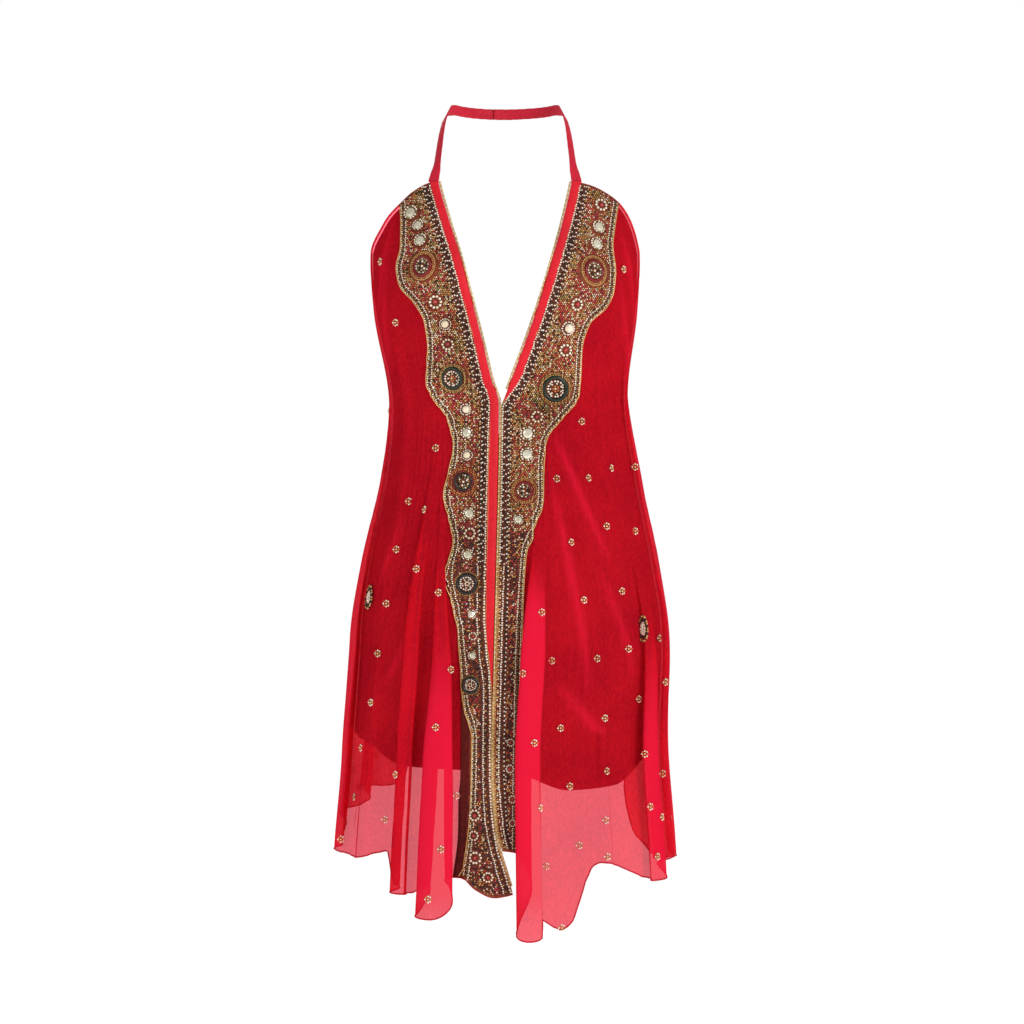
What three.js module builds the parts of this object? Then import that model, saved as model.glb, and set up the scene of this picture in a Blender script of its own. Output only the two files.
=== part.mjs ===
// A halter-neck sari dress: two sheer georgette fronts with beaded border panels, a low back, a shorter
// lining that shows through the georgette, plain bindings and beaded piping along the plunging neck and down
// the centre front, and two neck straps lapped at the nape.
// Millimetres. +Z up, the front faces -Y, +X is the wearer's left. The origin is the centre of the neck,
// level with the strap at the nape. Angles run round the body: 0 at centre front, 90 at the wearer's left.
import * as THREE from "three";

// ---------------------------------------------------------------- driving sizes
const CLOTH = 1.2; // wall of the georgette panels
const LINING = 1.0; // wall of the lining
const BORDER = 1.8; // beaded border panel, without its raised medallions
const BINDING = 1.3; // folded plain binding
const STRAP = { width: 13, thickness: 1.6, rise: 0.6 };
const PIPE_RADIUS = 1.3; // beaded piping cord
const GAP = 0.3; // between pieces that are sewn together
const LINING_SHORT = 5; // how far the lining stops short of the georgette's top edges
const LINING_LEVEL = -800; // mean level of the lining's hem
// Room between the georgette and the lining, and the share of the way down over which it widens.
const LINING_EASE = { top: 1, below: 4, within: 1 / 3 };
const SIDE_SEAM = 90; // angle of the side seams, in degrees
const SQUARENESS = 2.3; // exponent of the oval sections: 2 is an ellipse
const V_POINT = -368; // height of the point of the neckline
const CLOSED_TO = -905; // the fronts lie edge to edge from the neckline's point down to here
const TIP_Z = -97; // top corner of each front, where its strap is sewn on
const SIDE_TOP = -182; // top of the side seams
const BACK_TOP = -400; // lowest point of the back neckline
const BACK_CURVE = 2.2; // exponent of the back neckline's curve
const HEM_LEVEL = -960; // mean level of the hem, where the folds reach their full size
const HEM_REACH = 1.1; // the folds go on widening to this share of the way to that level
const SWING = 3; // how much sooner a fold swings over than it widens, as an exponent

// Half width and depths of the dress at each height, without folds, and its shift to the wearer's left.
const SECTIONS = [
  { z: -80, centre: 0, halfWidth: 148, front: 62, back: 78 },
  { z: -140, centre: 0, halfWidth: 161, front: 90, back: 86 },
  { z: -200, centre: 0, halfWidth: 165, front: 108, back: 90 },
  { z: -250, centre: 0.5, halfWidth: 162, front: 112, back: 90 },
  { z: -362, centre: 4, halfWidth: 146.5, front: 106, back: 88 },
  { z: -458, centre: 7, halfWidth: 157, front: 112, back: 98 },
  { z: -554, centre: 6.5, halfWidth: 176, front: 122, back: 114 },
  { z: -650, centre: 7, halfWidth: 189, front: 131, back: 126 },
  { z: -790, centre: 0.5, halfWidth: 191.5, front: 140, back: 136 },
  { z: -900, centre: 0, halfWidth: 200, front: 147, back: 142 },
  { z: -1010, centre: 0, halfWidth: 207, front: 152, back: 146 },
];
// Fullness that each front is cut with over the bust.
const CUP = { x: 80, z: -222, reachX: 44, reachZ: 62, lift: 15 };

// Folds of the georgette. Each starts at height `top` and angle `from`, has its full `depth` at `full`, and
// reaches the hem at angle `to`, swinging over near its top. `half` is its half width in degrees at the top and
// the hem, `lean` tips its crest towards the wearer's left (in degrees), `bulge` rounds it out past its own
// roots, and a fold with `gone` has died out at that height.
const FOLDS = [
  { top: -440, full: -860, from: -30, to: -19.8, halfTop: 1.2, halfHem: 9, depth: 26, lean: 0, bulge: 13 },
  { top: -380, full: -700, from: -33, to: -33.6, halfTop: 3.2, halfHem: 4.4, depth: 12, lean: -16, bulge: 7 },
  { top: -420, full: -880, from: -56, to: -55, halfTop: 8, halfHem: 9, depth: 11, lean: 12, bulge: 2 },
  { top: -240, full: -700, from: -76, to: -76, halfTop: 6, halfHem: 8, depth: 15, lean: 28, bulge: 6 },
  { top: -170, full: -330, from: -56, to: -52, halfTop: 5, halfHem: 6, depth: 6, lean: -20, gone: -640 },
  { top: -470, full: -680, from: 10.2, to: 9.2, halfTop: 4.6, halfHem: 5.3, depth: 27, lean: -42, bulge: 9 },
  { top: -620, full: -900, from: 24, to: 24.5, halfTop: 3, halfHem: 4, depth: 5, lean: 10 },
  { top: -600, full: -900, from: 34, to: 33.5, halfTop: 3.5, halfHem: 5, depth: 8, lean: 10, bulge: 1 },
  { top: -480, full: -800, from: 55, to: 60, halfTop: 6, halfHem: 8.5, depth: 20, lean: -28, bulge: 9 },
  { top: -160, full: -480, from: 62, to: 75, halfTop: 6, halfHem: 8, depth: 12, lean: -20, bulge: 2 },
  { top: -200, full: -380, from: 44, to: 46, halfTop: 5, halfHem: 6, depth: 6, lean: -20, gone: -640 },
  { top: -330, full: -860, from: 104, to: 103, halfTop: 6, halfHem: 9, depth: 16, lean: 10, bulge: 3 },
  { top: -400, full: -880, from: 122, to: 121, halfTop: 5, halfHem: 8, depth: 22, lean: -15, bulge: 6 },
  { top: -430, full: -900, from: 139, to: 138, halfTop: 6, halfHem: 9, depth: 18, lean: 12, bulge: 3 },
  { top: -440, full: -880, from: 156, to: 157, halfTop: 5, halfHem: 8, depth: 25, lean: -12, bulge: 7 },
  { top: -450, full: -900, from: 174, to: 176, halfTop: 5, halfHem: 9, depth: 17, lean: 15, bulge: 3 },
  { top: -440, full: -870, from: 193, to: 195, halfTop: 6, halfHem: 8, depth: 24, lean: 10, bulge: 7 },
  { top: -430, full: -900, from: 211, to: 213, halfTop: 5, halfHem: 9, depth: 16, lean: -14, bulge: 3 },
  { top: -400, full: -880, from: 231, to: 232, halfTop: 6, halfHem: 9, depth: 23, lean: 14, bulge: 6 },
  { top: -330, full: -860, from: 253, to: 254, halfTop: 5, halfHem: 9, depth: 15, lean: -10, bulge: 3 },
];

// Centre line of the piping: down each side of the neckline, then down the centre front, where the wearer's
// right front closes over the left and swings out at its free lower end.
const EDGE_RIGHT = [
  { z: -80, x: -82 },
  { z: -97, x: -79 },
  { z: -146, x: -65.5 },
  { z: -194, x: -51 },
  { z: -242, x: -38.5 },
  { z: -290, x: -26 },
  { z: -338, x: -14.5 },
  { z: -368, x: -5.6 },
  { z: -450, x: -7 },
  { z: -640, x: -11.5 },
  { z: -800, x: -15 },
  { z: -868, x: -11 },
  { z: -898, x: -5 },
  { z: -925, x: 3 },
  { z: -950, x: 11 },
];
const EDGE_LEFT = [
  { z: -80, x: 82 },
  { z: -97, x: 79 },
  { z: -146, x: 68 },
  { z: -194, x: 55 },
  { z: -242, x: 40.5 },
  { z: -290, x: 24 },
  { z: -338, x: 6 },
  { z: -368, x: -5.4 },
];
// Width of the plain binding beside the piping, until it runs out under the beadwork.
const BINDING_RIGHT = [
  { z: -80, width: 9 },
  { z: -350, width: 9 },
  { z: -420, width: 10.5 },
  { z: -620, width: 10 },
  { z: -725, width: 2 },
  { z: -960, width: 1.5 },
];
const BINDING_LEFT = [
  { z: -80, width: 9 },
  { z: -330, width: 9 },
  { z: -376, width: 2.4 },
  { z: -960, width: 2 },
];
// The wavy outer edge of each border, as its distance from the centre line of the body.
const BORDER_RIGHT = [
  { z: -120, x: -128 },
  { z: -150, x: -126 },
  { z: -176, x: -126 },
  { z: -202, x: -131 },
  { z: -224, x: -127 },
  { z: -246, x: -109 },
  { z: -268, x: -97 },
  { z: -300, x: -93 },
  { z: -340, x: -95 },
  { z: -362, x: -86 },
  { z: -384, x: -70 },
  { z: -416, x: -63 },
  { z: -446, x: -67 },
  { z: -476, x: -74 },
  { z: -500, x: -69 },
  { z: -530, x: -63 },
  { z: -572, x: -70 },
  { z: -600, x: -65 },
  { z: -640, x: -57 },
  { z: -722, x: -52 },
  { z: -766, x: -52.5 },
  { z: -820, x: -53 },
  { z: -890, x: -52 },
  { z: -940, x: -53 },
];
const BORDER_LEFT = [
  { z: -120, x: 138 },
  { z: -150, x: 133 },
  { z: -176, x: 130 },
  { z: -206, x: 133 },
  { z: -230, x: 131 },
  { z: -250, x: 122 },
  { z: -272, x: 101 },
  { z: -300, x: 93 },
  { z: -340, x: 91 },
  { z: -362, x: 87 },
  { z: -384, x: 70 },
  { z: -410, x: 51 },
  { z: -440, x: 47 },
  { z: -480, x: 47 },
  { z: -510, x: 40 },
  { z: -550, x: 26 },
  { z: -600, x: 23 },
  { z: -700, x: 19.5 },
  { z: -800, x: 17 },
  { z: -900, x: 16 },
];
// Round medallions raised on the borders: centre, radius and rise.
const MEDALLIONS_RIGHT = [
  { z: -136, x: -113, radius: 10, rise: 1.6 },
  { z: -203, x: -97, radius: 19, rise: 3.2 },
  { z: -240, x: -82, radius: 10, rise: 1.6 },
  { z: -290, x: -70, radius: 10, rise: 1.6 },
  { z: -334, x: -62, radius: 19, rise: 3.2 },
  { z: -390, x: -47, radius: 11, rise: 1.6 },
  { z: -463, x: -48, radius: 19, rise: 3.2 },
  { z: -512, x: -43, radius: 11, rise: 1.6 },
  { z: -582, x: -46, radius: 17, rise: 3.0 },
  { z: -616, x: -41, radius: 8, rise: 0.6 },
  { z: -710, x: -38, radius: 13, rise: 2.2 },
];
const MEDALLIONS_LEFT = [
  { z: -128, x: 115, radius: 10, rise: 1.6 },
  { z: -209, x: 104, radius: 19, rise: 3.2 },
  { z: -248, x: 84, radius: 11, rise: 1.6 },
  { z: -290, x: 73, radius: 11, rise: 1.6 },
  { z: -349, x: 59, radius: 20, rise: 3.2 },
  { z: -404, x: 28, radius: 11, rise: 1.6 },
  { z: -472, x: 23, radius: 17, rise: 3.0 },
  { z: -506, x: 16, radius: 9, rise: 0.6 },
];
// Top edge of each front, from its strap down to the side seam.
const ARMHOLE_RIGHT = [
  { angle: 27, z: TIP_Z },
  { angle: 33, z: -98.5 },
  { angle: 43.5, z: -110 },
  { angle: 50, z: -122 },
  { angle: 59, z: -137 },
  { angle: 70, z: -158 },
  { angle: 80, z: -171 },
  { angle: 90, z: SIDE_TOP },
];
const ARMHOLE_LEFT = [
  { angle: 27, z: TIP_Z },
  { angle: 33, z: -98.5 },
  { angle: 40, z: -102 },
  { angle: 49, z: -110 },
  { angle: 59, z: -122 },
  { angle: 68, z: -139 },
  { angle: 76, z: -158 },
  { angle: 81, z: -171 },
  { angle: 90, z: SIDE_TOP },
];
// Hem of the georgette by angle, in handkerchief points.
const HEM_RIGHT = [
  { angle: -90, z: -896 },
  { angle: -80, z: -904 },
  { angle: -61, z: -913 },
  { angle: -47, z: -905 },
  { angle: -42, z: -902 },
  { angle: -38, z: -940 },
  { angle: -33, z: -951 },
  { angle: -29.5, z: -950 },
  { angle: -26.5, z: -941 },
  { angle: -23.5, z: -972 },
  { angle: -20, z: -978 },
  { angle: -17.2, z: -960 },
  { angle: -15.4, z: -938 },
  { angle: -12.2, z: -930 },
  { angle: -7.8, z: -944 },
  { angle: -2.2, z: -954 },
  { angle: 1, z: -951 },
  { angle: 4, z: -945 },
];
const HEM_LEFT = [
  { angle: -1, z: -898 },
  { angle: 3.2, z: -902 },
  { angle: 4.6, z: -925 },
  { angle: 6.4, z: -966 },
  { angle: 8, z: -998 },
  { angle: 9.4, z: -1004 },
  { angle: 10.8, z: -1000 },
  { angle: 12.2, z: -974 },
  { angle: 13.8, z: -988 },
  { angle: 16, z: -992 },
  { angle: 20, z: -982 },
  { angle: 22, z: -962 },
  { angle: 24, z: -940 },
  { angle: 27, z: -922 },
  { angle: 31, z: -914 },
  { angle: 37, z: -917 },
  { angle: 43, z: -924 },
  { angle: 50, z: -932 },
  { angle: 55, z: -938 },
  { angle: 61, z: -938 },
  { angle: 66, z: -922 },
  { angle: 72, z: -917 },
  { angle: 80, z: -912 },
  { angle: 90, z: -899 },
];
const HEM_BACK = [
  { angle: 90, z: -899 },
  { angle: 104, z: -925 },
  { angle: 121, z: -930 },
  { angle: 128, z: -905 },
  { angle: 133, z: -846 },
  { angle: 140, z: -808 },
  { angle: 157, z: -796 },
  { angle: 176, z: -800 },
  { angle: 195, z: -794 },
  { angle: 211, z: -800 },
  { angle: 217, z: -826 },
  { angle: 225, z: -841 },
  { angle: 234, z: -842 },
  { angle: 240, z: -858 },
  { angle: 254, z: -868 },
  { angle: 262, z: -882 },
  { angle: 270, z: -896 },
];
// Hem of the lining, shorter than the georgette.
const LINING_HEM = [
  { angle: -90, z: -762 },
  { angle: -58, z: -778 },
  { angle: -38, z: -800 },
  { angle: 0, z: -806 },
  { angle: 20, z: -828 },
  { angle: 40, z: -824 },
  { angle: 60, z: -796 },
  { angle: 90, z: -766 },
  { angle: 135, z: -776 },
  { angle: 180, z: -770 },
  { angle: 225, z: -772 },
  { angle: 270, z: -762 },
];
// Centre line of the wearer's left strap, from above its seam to the nape. The right one is its mirror.
const STRAP_LINE = [
  { x: 83, y: -50, z: -76 },
  { x: 80.5, y: -35, z: -55 },
  { x: 78, y: -21, z: -34 },
  { x: 75.5, y: -11, z: -20 },
  { x: 72, y: -2, z: -9 },
  { x: 67, y: 9, z: -2 },
  { x: 60, y: 25, z: 0 },
  { x: 50, y: 42, z: 0 },
  { x: 34, y: 57, z: 0 },
  { x: 15, y: 66.5, z: 0 },
  { x: 0, y: 69, z: 0 },
];
const NECK = { x: 0, y: 36 }; // the straps face away from this axis
const STRAP_CROSSING = { from: 0.6, to: 0.85 }; // shares of a strap's length over which it moves in or out

// How finely each piece is divided.
const COLUMNS = { binding: 1, border: 4, side: 29, back: 42, liningFront: 6, liningBack: 12 };
const ROWS = { neck: 13, skirt: 18, back: 18, liningFront: 14, liningBack: 14 };
const CROWDING = 0.7; // how much closer the columns stand on a steep fold
const CROWDED_FROM = { right: -15, left: 6 }; // angles at which the cloth beyond the borders starts
const CROWDING_STEPS = 400;
const MEETING_PASSES = 5; // rounds in which a column's end settles on a slanting edge
const TANGENT_STEP = 0.5; // degrees to either side from which a direction round the body is taken
const TANGENT_RISE = 2; // mm up and down from which a direction down the body is taken
const STRAP_STEPS = 18;
const PIPE_SIDES = 6;

// ---------------------------------------------------------------- curves and surfaces
const radians = THREE.MathUtils.degToRad;
const clamp = THREE.MathUtils.clamp;
const lerp = THREE.MathUtils.lerp;
const smoothstep = (t) => THREE.MathUtils.smoothstep(t, 0, 1);

// A smooth curve through a table's rows that never overshoots them, as a function of the key column.
function through(table, key, value) {
  const rows = [...table].sort((a, b) => a[key] - b[key]);
  const at = rows.map((r) => r[key]);
  const v = rows.map((r) => r[value]);
  const chord = at.slice(1).map((_, i) => (v[i + 1] - v[i]) / (at[i + 1] - at[i]));
  const slope = at.map((_, i) => {
    const before = chord[i - 1];
    const after = chord[i];
    if (before === undefined || after === undefined) return before ?? after;
    return before * after <= 0 ? 0 : (2 * before * after) / (before + after);
  });
  return (k) => {
    const c = clamp(k, at[0], at[at.length - 1]);
    let i = 0;
    while (i < at.length - 2 && c > at[i + 1]) i += 1;
    const h = at[i + 1] - at[i];
    const t = (c - at[i]) / h;
    const s = 1 - t;
    return (
      v[i] * (1 + 2 * t) * s * s +
      slope[i] * h * t * s * s +
      v[i + 1] * t * t * (3 - 2 * t) -
      slope[i + 1] * h * t * t * s
    );
  };
}

const centreAt = through(SECTIONS, "z", "centre");
const halfWidthAt = through(SECTIONS, "z", "halfWidth");
const frontAt = through(SECTIONS, "z", "front");
const backAt = through(SECTIONS, "z", "back");
const liningHemAt = through(LINING_HEM, "angle", "z");

// A point of the dress without folds, at an angle and a height.
function bodyPoint(angle, z) {
  const sine = Math.sin(radians(angle));
  const cosine = Math.cos(radians(angle));
  const power = 2 / SQUARENESS;
  const aside = halfWidthAt(z) * Math.sign(sine) * Math.abs(sine) ** power;
  const depth = cosine > 0 ? frontAt(z) : backAt(z);
  let y = -depth * Math.sign(cosine) * Math.abs(cosine) ** power;
  if (cosine > 0) {
    const across = (Math.abs(aside) - CUP.x) / CUP.reachX;
    const along = (z - CUP.z) / CUP.reachZ;
    y -= CUP.lift * cosine ** power * Math.exp(-across * across - along * along);
  }
  return new THREE.Vector3(centreAt(z) + aside, y, z);
}

// The angle on the front of the dress at which it is x from the wearer's centre line.
function angleAt(x, z) {
  const aside = x - centreAt(z);
  const sine = clamp(Math.abs(aside) / halfWidthAt(z), 0, 1) ** (SQUARENESS / 2);
  return Math.sign(aside) * THREE.MathUtils.radToDeg(Math.asin(sine));
}

// A point of the georgette: the body's point moved out and along by the folds that pass there.
function clothPoint(angle, z) {
  const point = bodyPoint(angle, z);
  const along = bodyPoint(angle + TANGENT_STEP, z)
    .sub(bodyPoint(angle - TANGENT_STEP, z))
    .setZ(0)
    .normalize();
  const out = new THREE.Vector3(along.y, -along.x, 0);
  for (const fold of FOLDS) {
    const down = clamp((fold.top - z) / (fold.top - HEM_LEVEL), 0, HEM_REACH);
    const half = lerp(fold.halfTop, fold.halfHem, down);
    const swung = 1 - (1 - down) ** SWING;
    let away = angle - lerp(fold.from, fold.to, swung);
    if (away < -180) away += 360;
    if (away > 180) away -= 360;
    const s = away / half;
    if (Math.abs(s) >= 1) continue;
    let grown = smoothstep((fold.top - z) / (fold.top - fold.full));
    if (fold.gone) grown *= 1 - smoothstep((fold.full - z) / (fold.full - fold.gone));
    const lift = (grown * fold.depth * (1 + Math.cos(Math.PI * s))) / 2;
    const lean = radians(fold.lean);
    const swell = grown * (fold.bulge ?? 0) * Math.sin(2 * Math.PI * s);
    point.addScaledVector(out, lift * Math.cos(lean));
    point.addScaledVector(along, lift * Math.sin(lean) + swell);
  }
  return point;
}

// ---------------------------------------------------------------- grids and walls
// A grid is a list of rows of points, each row running from the wearer's right to left as seen from outside,
// and the rows running down, so that its outward side is known.
// The direction of a line of points as it passes p, halfway between its last step and its next.
const passing = (before, p, after) => {
  const arriving = new THREE.Vector3().subVectors(p, before).normalize();
  return new THREE.Vector3().subVectors(after, p).normalize().add(arriving);
};

function normals(grid) {
  const last = { row: grid.length - 1, column: grid[0].length - 1 };
  return grid.map((row, i) =>
    row.map((p, j) => {
      const across = passing(row[Math.max(j - 1, 0)], p, row[Math.min(j + 1, last.column)]);
      const down = passing(grid[Math.max(i - 1, 0)][j], p, grid[Math.min(i + 1, last.row)][j]);
      return down.cross(across).normalize();
    }),
  );
}

const moved = (grid, along, distance) =>
  grid.map((row, i) => row.map((p, j) => p.clone().addScaledVector(along[i][j], distance)));

// A closed wall between an outer and an inner grid. The outer grid may be divided `finer` times as finely.
function wall(outer, inner, finer = 1) {
  const vertices = [];
  const triangles = [];
  const index = (grid) =>
    grid.map((row) => row.map((p) => vertices.push(p.x, p.y, p.z) / 3 - 1));
  const out = index(outer);
  const back = index(inner);
  const face = (ids, flip) => {
    for (let i = 0; i < ids.length - 1; i += 1) {
      for (let j = 0; j < ids[0].length - 1; j += 1) {
        const [a, b, c, d] = [ids[i][j], ids[i][j + 1], ids[i + 1][j + 1], ids[i + 1][j]];
        triangles.push(...(flip ? [a, b, c, a, c, d] : [a, c, b, a, d, c]));
      }
    }
  };
  face(out, false);
  face(back, true);
  // Joins a run of outer edge points to the inner ones below it, with the outer run on the left hand.
  const rim = (near, far) => {
    for (let i = 0; i < far.length - 1; i += 1) {
      for (let k = 0; k < finer; k += 1) {
        const half = k < finer / 2 ? far[i] : far[i + 1];
        triangles.push(near[i * finer + k], near[i * finer + k + 1], half);
        if (k === Math.ceil(finer / 2) - 1) triangles.push(near[i * finer + k + 1], far[i + 1], far[i]);
      }
    }
  };
  const column = (ids, j) => ids.map((row) => row[j]);
  const reversed = (list) => [...list].reverse();
  rim(out[0], back[0]);
  rim(column(out, out[0].length - 1), column(back, back[0].length - 1));
  rim(reversed(out[out.length - 1]), reversed(back[back.length - 1]));
  rim(reversed(column(out, 0)), reversed(column(back, 0)));
  const geometry = new THREE.BufferGeometry();
  geometry.setAttribute("position", new THREE.Float32BufferAttribute(vertices, 3));
  geometry.setIndex(triangles);
  return geometry;
}

// A cloth wall whose outer face is the grid.
const sheet = (grid, thickness) => wall(grid, moved(grid, normals(grid), -thickness));

// Part of a grid, with its first and last columns drawn in by half a gap where pieces meet side by side.
function part(grid, columns, rows, drawIn) {
  const [first, last] = columns;
  return grid.slice(rows[0], rows[1] + 1).map((row) => {
    const cut = row.slice(first, last + 1).map((p) => p.clone());
    const end = cut.length - 1;
    const shorten = (p, towards, by) => p.add(towards.clone().sub(p).setLength(by));
    if (drawIn[0]) shorten(cut[0], row[first + 1], drawIn[0]);
    if (drawIn[1]) shorten(cut[end], row[last - 1], drawIn[1]);
    return cut;
  });
}

// Halves a grid's steps both ways. Each new point lies on the old faces.
function halved(grid) {
  const between = (a, b) => a.clone().add(b).multiplyScalar(0.5);
  const wide = grid.map((row) =>
    row.flatMap((p, j) => (j + 1 < row.length ? [p, between(p, row[j + 1])] : [p])),
  );
  return wide.flatMap((row, i) =>
    i + 1 < wide.length ? [row, row.map((p, j) => between(p, wide[i + 1][j]))] : [row],
  );
}

// Shares of the way from one angle to another that crowd together where the folds are steep at the hem.
function crowdedShares(from, to, count) {
  const steps = CROWDING_STEPS;
  const sums = [0];
  for (let i = 0; i < steps; i += 1) {
    const angle = lerp(from, to, (i + 0.5) / steps);
    const steep = FOLDS.filter((f) => !f.gone && Math.abs(angle - f.to) < f.halfHem);
    const rate = steep.reduce((sum, f) => sum + (CROWDING * f.depth) / f.halfHem, 1);
    sums.push(sums[i] + rate);
  }
  return Array.from({ length: count + 1 }, (_, k) => {
    const target = (sums[steps] * k) / count;
    const i = clamp(sums.findIndex((sum) => sum >= target), 1, steps);
    return (i - 1 + (target - sums[i - 1]) / (sums[i] - sums[i - 1])) / steps;
  });
}

// ---------------------------------------------------------------- the fronts
// side is -1 for the wearer's right front and 1 for the left.
const rightEdgeAt = through(EDGE_RIGHT, "z", "x");
const leftNeckAt = through(EDGE_LEFT, "z", "x");
const FRONTS = {
  right: {
    side: -1,
    edge: rightEdgeAt,
    binding: through(BINDING_RIGHT, "z", "width"),
    border: through(BORDER_RIGHT, "z", "x"),
    armhole: through(ARMHOLE_RIGHT, "angle", "z"),
    hem: through(HEM_RIGHT, "angle", "z"),
    medallions: MEDALLIONS_RIGHT,
    bindingEnd: -720,
    pipingEnd: -Infinity,
    shares: crowdedShares(CROWDED_FROM.right, -SIDE_SEAM, COLUMNS.side),
  },
  left: {
    side: 1,
    // Below the point of the neck the left front's edge lies against the right front's piping.
    edge: (z) => (z > V_POINT ? leftNeckAt(z) : rightEdgeAt(Math.max(z, CLOSED_TO)) + GAP),
    binding: through(BINDING_LEFT, "z", "width"),
    border: through(BORDER_LEFT, "z", "x"),
    armhole: through(ARMHOLE_LEFT, "angle", "z"),
    hem: through(HEM_LEFT, "angle", "z"),
    medallions: MEDALLIONS_LEFT,
    bindingEnd: -365,
    pipingEnd: -352,
    shares: crowdedShares(CROWDED_FROM.left, SIDE_SEAM, COLUMNS.side),
  },
};
const EDGE_INSET = PIPE_RADIUS + GAP; // from the piping's centre line to the cloth's edge

// Angle of a front's column at a height: the first columns follow the binding and the border's wavy edge,
// and the rest spread over the cloth beyond it.
function frontAngle(front, column, z) {
  const { side } = front;
  const edge = front.edge(z) + side * EDGE_INSET;
  const stops = [edge, edge + side * front.binding(z), front.border(z)].map((x) => angleAt(x, z));
  if (column <= COLUMNS.binding) return lerp(stops[0], stops[1], column / COLUMNS.binding);
  const inBorder = column - COLUMNS.binding;
  if (inBorder <= COLUMNS.border) return lerp(stops[1], stops[2], inBorder / COLUMNS.border);
  return lerp(stops[2], side * SIDE_SEAM, front.shares[inBorder - COLUMNS.border]);
}

// The height at which a column meets an edge whose height depends on the column's own angle there.
function meeting(front, column, start, edgeAt) {
  let z = start;
  for (let pass = 0; pass < MEETING_PASSES; pass += 1) z = edgeAt(frontAngle(front, column, z));
  return z;
}

// Points of a front's outer face, in rows that follow its top edge above and its hem below.
function frontGrid(front) {
  const columns = COLUMNS.binding + COLUMNS.border + COLUMNS.side;
  const rows = ROWS.neck + ROWS.skirt;
  const numbers = Array.from({ length: columns + 1 }, (_, j) => j);
  const tops = numbers.map((j) => meeting(front, j, TIP_Z, (angle) => front.armhole(Math.abs(angle))));
  const hems = numbers.map((j) => meeting(front, j, HEM_LEVEL, front.hem));
  const grid = [];
  for (let i = 0; i <= rows; i += 1) {
    const level =
      i <= ROWS.neck
        ? lerp(TIP_Z, V_POINT, i / ROWS.neck)
        : lerp(V_POINT, hems[0], (i - ROWS.neck) / ROWS.skirt);
    const down = (level - TIP_Z) / (hems[0] - TIP_Z);
    const row = numbers.map((j) => {
      const z = lerp(tops[j], hems[j], down);
      const point = clothPoint(frontAngle(front, j, z), z);
      if (j === columns) point.y -= GAP / 2;
      return point;
    });
    grid.push(front.side < 0 ? row.reverse() : row);
  }
  return grid;
}

// Rows of a front's grid from the top down to a height at its centre edge.
function rowsDownTo(grid, front, height) {
  const edge = front.side < 0 ? grid[0].length - 1 : 0;
  const below = grid.findIndex((row) => row[edge].z < height);
  return below < 0 ? grid.length - 1 : below - 1;
}

// Columns of a front's grid, counted from its centre edge, as a pair in the grid's own order.
function columnsOf(grid, front, from, to) {
  const last = grid[0].length - 1;
  return front.side < 0 ? [last - to, last - from] : [from, to];
}

function borderGeometry(grid, front) {
  const columns = columnsOf(grid, front, COLUMNS.binding, COLUMNS.binding + COLUMNS.border);
  const inEdge = front.side < 0 ? [0, GAP / 2] : [GAP / 2, 0];
  const base = part(grid, columns, [0, grid.length - 1], inEdge);
  const across = normals(grid).map((row) => row.slice(columns[0], columns[1] + 1));
  const inner = moved(base, across, GAP);
  const out = halved(across);
  const outer = halved(base).map((row, i) =>
    row.map((p, j) => {
      let raised = 0;
      for (const m of front.medallions) {
        const away = Math.hypot(p.x - m.x, p.z - m.z) / m.radius;
        if (away < 1) raised = Math.max(raised, m.rise * Math.sqrt(1 - away * away));
      }
      return p.clone().addScaledVector(out[i][j].clone().normalize(), GAP + BORDER + raised);
    }),
  );
  return wall(outer, inner, 2);
}

function bindingGeometry(grid, front) {
  const columns = columnsOf(grid, front, 0, COLUMNS.binding);
  const rows = rowsDownTo(grid, front, front.bindingEnd);
  const inEdge = front.side < 0 ? [GAP / 2, 0] : [0, GAP / 2];
  const base = part(grid, columns, [0, rows], inEdge);
  const out = normals(grid).map((row) => row.slice(columns[0], columns[1] + 1));
  return wall(moved(base, out, GAP + BINDING), moved(base, out, GAP));
}

// The piping: a round cord along the centre edge, just clear of the cloth's edge.
function pipingGeometry(grid, front) {
  const [first, second] = front.side < 0 ? [grid[0].length - 1, grid[0].length - 2] : [0, 1];
  const rows = rowsDownTo(grid, front, front.pipingEnd);
  const out = normals(grid);
  const rings = [];
  for (let i = 0; i <= rows; i += 1) {
    const away = grid[i][first].clone().sub(grid[i][second]).normalize();
    const centre = grid[i][first]
      .clone()
      .addScaledVector(away, PIPE_RADIUS + GAP)
      .addScaledVector(out[i][first], GAP);
    const ring = [];
    for (let k = 0; k < PIPE_SIDES; k += 1) {
      const turn = (2 * Math.PI * k * -front.side) / PIPE_SIDES;
      ring.push(
        centre
          .clone()
          .addScaledVector(away, PIPE_RADIUS * Math.cos(turn))
          .addScaledVector(out[i][first], PIPE_RADIUS * Math.sin(turn)),
      );
    }
    rings.push(ring);
  }
  return tube(rings);
}

// A closed tube through rings of points, its ends shut by fans.
function tube(rings) {
  const sides = rings[0].length;
  const triangles = [];
  for (let i = 0; i < rings.length - 1; i += 1) {
    for (let k = 0; k < sides; k += 1) {
      const next = (k + 1) % sides;
      const [a, b] = [i * sides + k, i * sides + next];
      triangles.push(a, b, b + sides, a, b + sides, a + sides);
    }
  }
  const end = (rings.length - 1) * sides;
  for (let k = 1; k < sides - 1; k += 1) {
    triangles.push(0, k + 1, k, end, end + k, end + k + 1);
  }
  const geometry = new THREE.BufferGeometry();
  const points = rings.flat().flatMap((p) => [p.x, p.y, p.z]);
  geometry.setAttribute("position", new THREE.Float32BufferAttribute(points, 3));
  geometry.setIndex(triangles);
  return geometry;
}

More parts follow.
